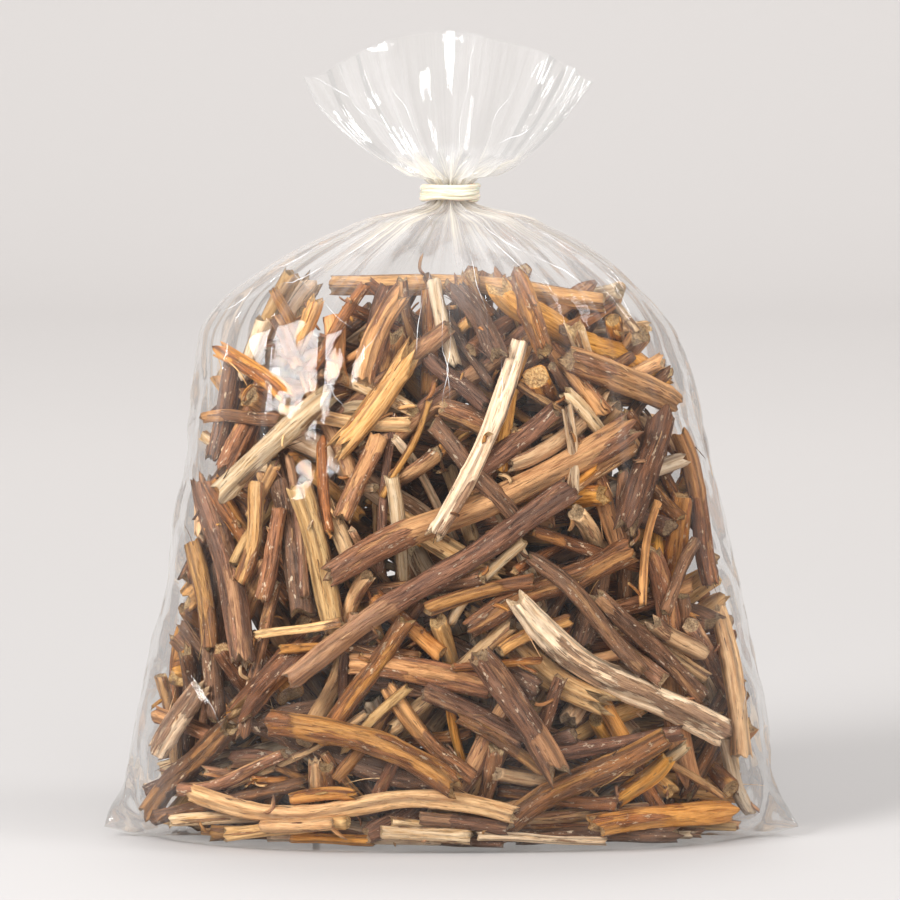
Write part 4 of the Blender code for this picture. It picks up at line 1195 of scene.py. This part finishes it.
def make_film_fan(finish):
    draw = random.Random(12)
    share = np.linspace(0, 1, FAN_ROWS) ** 1.15
    heights = 130.5 * MM + (FAN_SIDE_TOP - 130.5 * MM) * share
    angle, z, points, _ = film_grid(heights, 0.1 * MM)
    out = outwards(points)
    spread = angle / (2 * math.pi)
    grow = np.clip((z - 133.4 * MM) / (20 * MM), 0, 1)
    wander = 0.012 * np.sin(z / (6 * MM) + 4 * angle)
    folds = 0.65 * fold(6 * (spread + wander) + 0.15) + 0.35 * fold(11 * (spread - wander) + 0.4)
    folds += 0.12 * fold(31 * spread)
    points += out * (folds * (0.15 * MM + 2.0 * MM * grow**0.8))[..., None]
    creases = np.zeros(z.shape)
    for _ in range(26):
        place = draw.random()
        away = spread - place - draw.uniform(-0.02, 0.02) * grow
        away = np.abs(away - np.round(away)) * (20 + 110 * grow) * MM
        strength, width = draw.uniform(0.3, 1.0), draw.uniform(0.25, 0.6) * MM
        creases += strength * np.exp(-away / width) * np.clip(grow * 6, 0, 1)
    points += out * (creases * 0.5 * MM * grow)[..., None]
    facets = crumple(draw, spread * 110 * MM, z, (9 * MM, 20 * MM), 4)
    points += out * (facets * 0.7 * MM * grow)[..., None]
    points = spread_at_band(points, z, out)
    cosine = np.cos(angle)
    rise = (FAN_MIDDLE_TOP - FAN_LOW) / (FAN_SIDE_TOP - FAN_LOW) - 1
    high = np.maximum(z - FAN_LOW, 0)
    points[..., 2] = z + high * rise * (1 - cosine**2)
    points[..., 2] -= 0.8 * MM * grow**3 * (0.5 + 0.5 * fold(5 * spread + 0.1))
    lift_facets(points, FAN_FACETS)
    gather_neck(points, angle, np.clip((137 * MM - z) / (4 * MM), 0, 1))
    milk = 0.045 + 0.50 * np.clip((138.5 * MM - z) / (6 * MM), 0, 1) + 0.14 * np.clip(creases, 0, 1)
    milk += 0.10 * np.clip(fold(16 * (spread - wander) + 0.4), 0, 1) * (1 - 0.6 * grow)
    made = grid_object("film_fan", points, finish, milk, streak_way(angle, z))
    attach(made, "root")
    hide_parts("film_bag")
    return points


# Creases that show as bright lines on the front, white strips that are painted highlights: points (x, z) in
# millimetres, and width of the line
CREASES = [
    ([(-11, 128), (-24, 121), (-37, 114), (-50.5, 103)], 0.34),
    ([(-6, 127), (-20, 119), (-32, 113), (-45, 108)], 0.26),
    ([(5, 125), (14, 120), (22, 116), (30, 109)], 0.36),
    ([(6, 123), (14, 116), (20.5, 111)], 0.26),
    ([(7, 127), (14, 126), (19, 123), (20, 120)], 0.24),
    ([(9, 126), (18, 122.5), (27, 117.5), (33, 113)], 0.2),
    ([(25.5, 117), (29.5, 120), (31.5, 117), (25.5, 117)], 0.22),
    ([(-7, 116.5), (-6, 109), (-7, 98)], 0.24),
    ([(-4.5, 116.5), (-4.8, 109)], 0.2),
    ([(-2.5, 114), (-0.5, 99), (-1.4, 88)], 0.26),
    ([(-0.6, 112), (0.4, 101), (-0.8, 88)], 0.22),
    ([(11, 101), (10, 90), (12.5, 99), (14, 103)], 0.26),
    ([(-12.6, 108), (-17, 99), (-20.5, 91)], 0.22),
    ([(-24, 103), (-23.5, 92), (-21, 89)], 0.24),
    ([(-34, 118), (-28, 112), (-19, 104)], 0.2),
    ([(2, 122), (6, 112), (8, 103)], 0.24),
    ([(-58, 36), (-53, 35.5), (-47, 29), (-42, 20)], 0.2),
    ([(50, 88), (55, 66), (58, 48)], 0.22),
    ([(46, 95), (52, 78)], 0.2),
    ([(57, 34), (59, 31), (58.5, 26)], 0.26),
    ([(57, 15), (60, 12), (58, 9)], 0.26),
    ([(-55, 70), (-57, 50), (-60, 38)], 0.2),
]
# The same painted highlights along the creases of the fan
FAN_CREASES = [
    ([(-27, 154), (-24, 152.6), (-20, 150)], 0.8),
    ([(-20, 150), (-14.5, 144.5), (-9.5, 138.8)], 0.42),
    ([(5.2, 163), (4.4, 156), (3.0, 148), (1, 139)], 0.26),
    ([(-12, 157), (-11.4, 151), (-7, 144), (-4, 138)], 0.22),
    ([(27, 153), (20, 147), (12, 141.6), (6, 137)], 0.24),
    ([(14, 158), (11.5, 149), (5, 138)], 0.18),
    ([(-24, 145), (-16, 137.5), (-8, 134.5)], 0.24),
]
CREASE_LIFT = 0.12 * MM
CREASE_WANDER = 0.35 * MM


def add_creases(draw, creases, grid, points, faces, values):
    """Fine raised ribs along lines on the front of a sheet of film, whose white is a painted highlight."""
    front = grid[:, BACK_SIDES:].reshape(-1, 3)
    normals = outwards(grid)[:, BACK_SIDES:].reshape(-1, 3)
    for corners, width in creases:
        corners = np.array(corners) * MM
        steps = np.concatenate([[0], np.cumsum(np.linalg.norm(np.diff(corners, axis=0), axis=1))])
        place = np.linspace(0, steps[-1], max(8, int(steps[-1] / (0.7 * MM))))
        x, z = np.interp(place, steps, corners[:, 0]), np.interp(place, steps, corners[:, 1])
        for wave in (4.0, 9.0):
            x = x + CREASE_WANDER * np.sin(place / (wave * MM) * 2 + draw.uniform(0, 6.3))
            z = z + CREASE_WANDER * np.sin(place / (wave * MM) * 2 + draw.uniform(0, 6.3))
        away = (front[None, :, 0] - x[:, None]) ** 2 + (front[None, :, 2] - z[:, None]) ** 2
        near = np.argpartition(away, 4, axis=1)[:, :4]
        weight = 1 / (np.take_along_axis(away, near, axis=1) + 1e-8)
        weight = (weight / weight.sum(axis=1, keepdims=True))[..., None]
        out = unit((normals[near] * weight).sum(axis=1))
        line = (front[near] * weight).sum(axis=1) + out * CREASE_LIFT
        line[1:-1] = (line[:-2] + 2 * line[1:-1] + line[2:]) / 4
        across = unit(np.cross(unit(np.gradient(line, axis=0)), out))
        share = place / steps[-1]
        uneven = 0.65 + 0.35 * np.sin(place / (2.3 * MM) + draw.uniform(0, 6.3))
        taper = np.clip(np.minimum(share, 1 - share) * 3, 0.08, 1) * uneven
        half = (0.42 * width * MM * taper)[:, None]
        rows, base = len(line), sum(len(block) for block in points)
        for side in (-1, 0, 1):
            points.append(line + across * half * side + out * 0.3 * half * (side == 0))
            # Painted highlight: strongest along the middle of the rib, weaker at its edges
            values.append(np.full(rows, 0.6 if side == 0 else 0.22) * np.clip(uneven + 0.2, 0, 1))
        for k in range(rows - 1):
            for column in (0, 1):
                a, b = base + column * rows + k, base + (column + 1) * rows + k
                faces.append((a, b, b + 1, a + 1))


def make_creases(finish, body, fan):
    """Painted highlights: the white creases of the film, on its body and on the fan."""
    draw = random.Random(17)
    points, faces, values = [], [], []
    add_creases(draw, CREASES, body, points, faces, values)
    add_creases(draw, FAN_CREASES, fan, points, faces, values)
    lines = np.concatenate(points).tolist()
    made = add_mesh("film_crease_highlights", lines, faces, finish, haze=np.concatenate(values))
    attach(made, "root")
    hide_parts("film_bag")


def crease_highlight_paint():
    """Painted highlight: film painted white along a crease in place of the light that the crease mirrors."""
    s = Shader("crease")
    haze = s.node("ShaderNodeAttribute", {"attribute_name": "haze"}).outputs["Fac"]
    place = s.node("ShaderNodeTexCoord").outputs["Object"]
    broken = s.step(s.noise(s.scaled(place, (500, 500, 500)), detail=2.0), 0.3, 0.6, 0.45, 1.0)
    clear = s.node("ShaderNodeBsdfTransparent", Color=(0.99, 0.99, 0.99))
    white = s.node("ShaderNodeBsdfPrincipled", Base_Color=(0.93, 0.93, 0.94), Roughness=0.2)
    total = s.node("ShaderNodeMixShader")
    # The white is a painted highlight, its strength set by haze and broken up by noise
    s.feed(total.inputs[0], s.math("MULTIPLY", haze, broken))
    s.tree.links.new(clear.outputs[0], total.inputs[1])
    s.tree.links.new(white.outputs[0], total.inputs[2])
    s.tree.links.new(total.outputs[0], s.output.inputs[0])
    return s.material


def film_material():
    """Thin clear film: mostly see-through, glossy at a slant, and milky where it is gathered."""
    s = Shader("film")
    haze = s.node("ShaderNodeAttribute", {"attribute_name": "haze"}).outputs["Fac"]
    place = s.node("ShaderNodeTexCoord").outputs["Object"]
    way = s.node("ShaderNodeAttribute", {"attribute_name": "way"}).outputs["Vector"]
    ripple = s.noise(s.scaled(place, (220, 220, 60)), detail=4.0, rough=0.6)
    streak = s.noise(s.scaled(way, (34, 34, 0.9)), detail=5.0, rough=0.7)
    broad = s.noise(s.scaled(way, (6, 6, 0.7)), detail=2.0, rough=0.5)
    haze = s.math("MULTIPLY", haze, s.step(streak, 0.34, 0.66, 0.5, 1.45))
    haze = s.math("MULTIPLY", haze, s.step(broad, 0.35, 0.65, 0.45, 1.5))
    haze = s.math("MINIMUM", haze, 0.92)
    bump = s.node("ShaderNodeBump", Height=ripple, Strength=0.12, Distance=0.0006)
    clear = s.node("ShaderNodeBsdfTransparent", Color=(0.99, 0.99, 0.985))
    gloss = s.node("ShaderNodeBsdfGlossy", Color=(1.0, 1.0, 1.0), Roughness=0.05, Normal=bump.outputs[0])
    mirror = s.node("ShaderNodeFresnel", IOR=1.5, Normal=bump.outputs[0]).outputs[0]
    shine = s.node("ShaderNodeMixShader")
    s.feed(shine.inputs[0], s.math("MINIMUM", s.math("MULTIPLY", s.math("POWER", mirror, 1.2), 0.78), 0.42))
    s.tree.links.new(clear.outputs[0], shine.inputs[1])
    s.tree.links.new(gloss.outputs[0], shine.inputs[2])
    tint = s.mix(s.step(haze, 0.22, 0.6), (0.84, 0.83, 0.83), (0.87, 0.82, 0.72))
    lit = s.node("ShaderNodeBsdfDiffuse", Color=tint)
    through = s.node("ShaderNodeBsdfTranslucent", Color=tint)
    milk = s.node("ShaderNodeMixShader")
    milk.inputs[0].default_value = 0.4
    s.tree.links.new(lit.outputs[0], milk.inputs[1])
    s.tree.links.new(through.outputs[0], milk.inputs[2])
    total = s.node("ShaderNodeMixShader")
    s.feed(total.inputs[0], haze)
    s.tree.links.new(shine.outputs[0], total.inputs[1])
    s.tree.links.new(milk.outputs[0], total.inputs[2])
    s.tree.links.new(total.outputs[0], s.output.inputs[0])
    return s.material


def make_band():
    """The tie: a glossy strand wound round the neck in overlapping turns, with its ends tucked in."""
    sides, steps, turns = 10, 80, 4.35
    count = int(steps * turns)
    share = np.linspace(0, 1, count)
    angle = 2 * math.pi * turns * share - 0.6
    drift = 0.16 * np.sin(3.1 * angle + 0.4) + 0.12 * np.sin(1.7 * angle)
    z = (129.15 + 2.9 * share + 0.8 * drift) * MM
    tuck = np.exp(-share / 0.012) + np.exp(-(1 - share) / 0.012)
    ring = (5.42 + 0.14 * np.sin(2.3 * angle) - 0.5 * tuck) * MM
    line = np.stack([ring * np.cos(angle), ring * np.sin(angle), z], axis=-1)
    along, _, _ = frames(line)
    out = unit(np.stack([np.cos(angle), np.sin(angle), 0 * angle], axis=-1))
    up = np.cross(along, out)
    turn = 2 * math.pi * np.arange(sides) / sides
    flat = (0.66 + 0.06 * np.sin(5 * angle)) * MM
    tall = (0.60 + 0.07 * np.sin(4 * angle + 1)) * MM
    fade = (1 - 0.55 * tuck)[:, None, None]
    points = line[:, None] + fade * (
        out[:, None] * (np.cos(turn)[None, :] * flat[:, None])[..., None]
        + up[:, None] * (np.sin(turn)[None, :] * tall[:, None])[..., None]
    )
    around = 0 * angle[:, None] + turn[None, :]
    grain = np.stack([np.cos(around), np.sin(around), (angle * 5.4)[:, None] + 0 * around], axis=-1) * MM
    batch = Batch()
    batch.add_rows(points, grain, np.zeros((count, sides, 4)))
    s = Shader("band")
    place = s.node("ShaderNodeAttribute", {"attribute_name": "grain"}).outputs["Vector"]
    streak = s.noise(s.scaled(place, (1500, 1500, 160)), detail=4.0, rough=0.6)
    colour = s.mix(s.step(streak, 0.3, 0.7), (0.55, 0.45, 0.31), (0.80, 0.73, 0.61))
    bump = s.node("ShaderNodeBump", Height=streak, Strength=0.5, Distance=0.0002)
    shader = s.node("ShaderNodeBsdfPrincipled", Base_Color=colour, Normal=bump.outputs[0], Roughness=0.32)
    set_input(shader, {"Subsurface Weight": 0.25, "Subsurface Scale": 0.002})
    s.tree.links.new(shader.outputs[0], s.output.inputs[0])
    made = batch.build("wound_band", s.material, inside=False)
    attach(made, "root")
    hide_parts("neck_band")


def make_stage():
    """A pale floor that sweeps up into the backdrop, with painted shade that makes it darker towards the
    front.
    """
    width, front, back, top, bend = 4.0, -4.0, 2.1, 3.0, 0.6
    profile = [(front, 0.0), (back - bend, 0.0)]
    for k in range(1, 17):
        turn = math.pi / 2 * k / 16
        profile.append((back - bend + bend * math.sin(turn), bend - bend * math.cos(turn)))
    profile.append((back, top))
    points = [(x, y, z) for y, z in profile for x in (-width, width)]
    faces = [(2 * k, 2 * k + 1, 2 * k + 3, 2 * k + 2) for k in range(len(profile) - 1)]
    s = Shader("floor_painted_shade")
    place = s.node("ShaderNodeSeparateXYZ", Vector=s.node("ShaderNodeTexCoord").outputs["Object"])
    # Painted shade: the floor is darker at the front, where the lamps light it more than the backdrop, and
    # paler up the sweep
    paint_and_shade = s.mix(s.step(place.outputs[1], -0.2, 0.9), (0.455, 0.441, 0.436), (0.628, 0.604, 0.592))
    shader = s.node("ShaderNodeBsdfPrincipled", Base_Color=paint_and_shade, Roughness=0.9)
    set_input(shader, {"Specular IOR Level": 0.2})
    s.tree.links.new(shader.outputs[0], s.output.inputs[0])
    add_mesh("floor", points, faces, s.material)


# Soft lights: name, place, what they point at, size, power, and whether glossy surfaces mirror them
LIGHTS = [
    ("key", (-0.56, -0.62, 0.50), (0, 0, 0.08), 0.33, 11.5, True),
    ("upper_right", (0.50, -0.20, 0.66), (0, 0, 0.09), 0.2, 1.8, True),
    ("right", (0.85, -0.95, 0.40), (0, 0, 0.08), 0.9, 7.5, False),
    ("front", (0.10, -1.35, 0.80), (0, 0, 0.08), 0.8, 6.5, False),
    ("wall", (0.0, 0.9, 2.3), (0, 2.1, 0.5), 1.2, 30.0, False),
]
SKY_COLOUR = (1.0, 0.985, 0.97, 1.0)
SKY_STRENGTH = 0.50
CAMERA_DISTANCE = 1.1
CAMERA_ELEVATION = math.radians(5.5)
CAMERA_TARGET = Vector((0, 0, 78.5 * MM))
PIXELS_A_METRE = 4950
PICTURE_WIDTH = 900


def softbox(name, place, target, size, power, glossy):
    light = bpy.data.lights.new(name, "AREA")
    light.shape, light.size, light.energy = "SQUARE", size, power
    made = bpy.data.objects.new(name, light)
    bpy.context.scene.collection.objects.link(made)
    made.location = place
    made.rotation_euler = (Vector(target) - Vector(place)).to_track_quat("-Z", "Y").to_euler()
    made.visible_glossy = glossy


def make_lights_and_camera():
    scene = bpy.context.scene
    for light in LIGHTS:
        softbox(*light)
    world = bpy.data.worlds.new("studio")
    scene.world = world
    world.use_nodes = True
    back = world.node_tree.nodes["Background"]
    back.inputs[0].default_value = SKY_COLOUR
    back.inputs[1].default_value = SKY_STRENGTH
    camera = bpy.data.cameras.new("camera")
    camera.sensor_width = 36.0
    camera.lens = camera.sensor_width * CAMERA_DISTANCE / (PICTURE_WIDTH / PIXELS_A_METRE)
    camera.clip_end = 20.0
    seen = bpy.data.objects.new("camera", camera)
    scene.collection.objects.link(seen)
    way = Vector((0, -math.cos(CAMERA_ELEVATION), math.sin(CAMERA_ELEVATION)))
    seen.location = CAMERA_TARGET + CAMERA_DISTANCE * way
    seen.rotation_euler = (CAMERA_TARGET - seen.location).to_track_quat("-Z", "Y").to_euler()
    scene.camera = seen
    scene.view_settings.view_transform = "Standard"
    scene.view_settings.look = "None"
    scene.cycles.transparent_max_bounces = 32
    scene.cycles.max_bounces = 8


make_stage()
make_lights_and_camera()
make_roots()
film = film_material()
body_grid = make_film_body(film)
fan_grid = make_film_fan(film)
make_creases(crease_highlight_paint(), body_grid, fan_grid)
make_band()
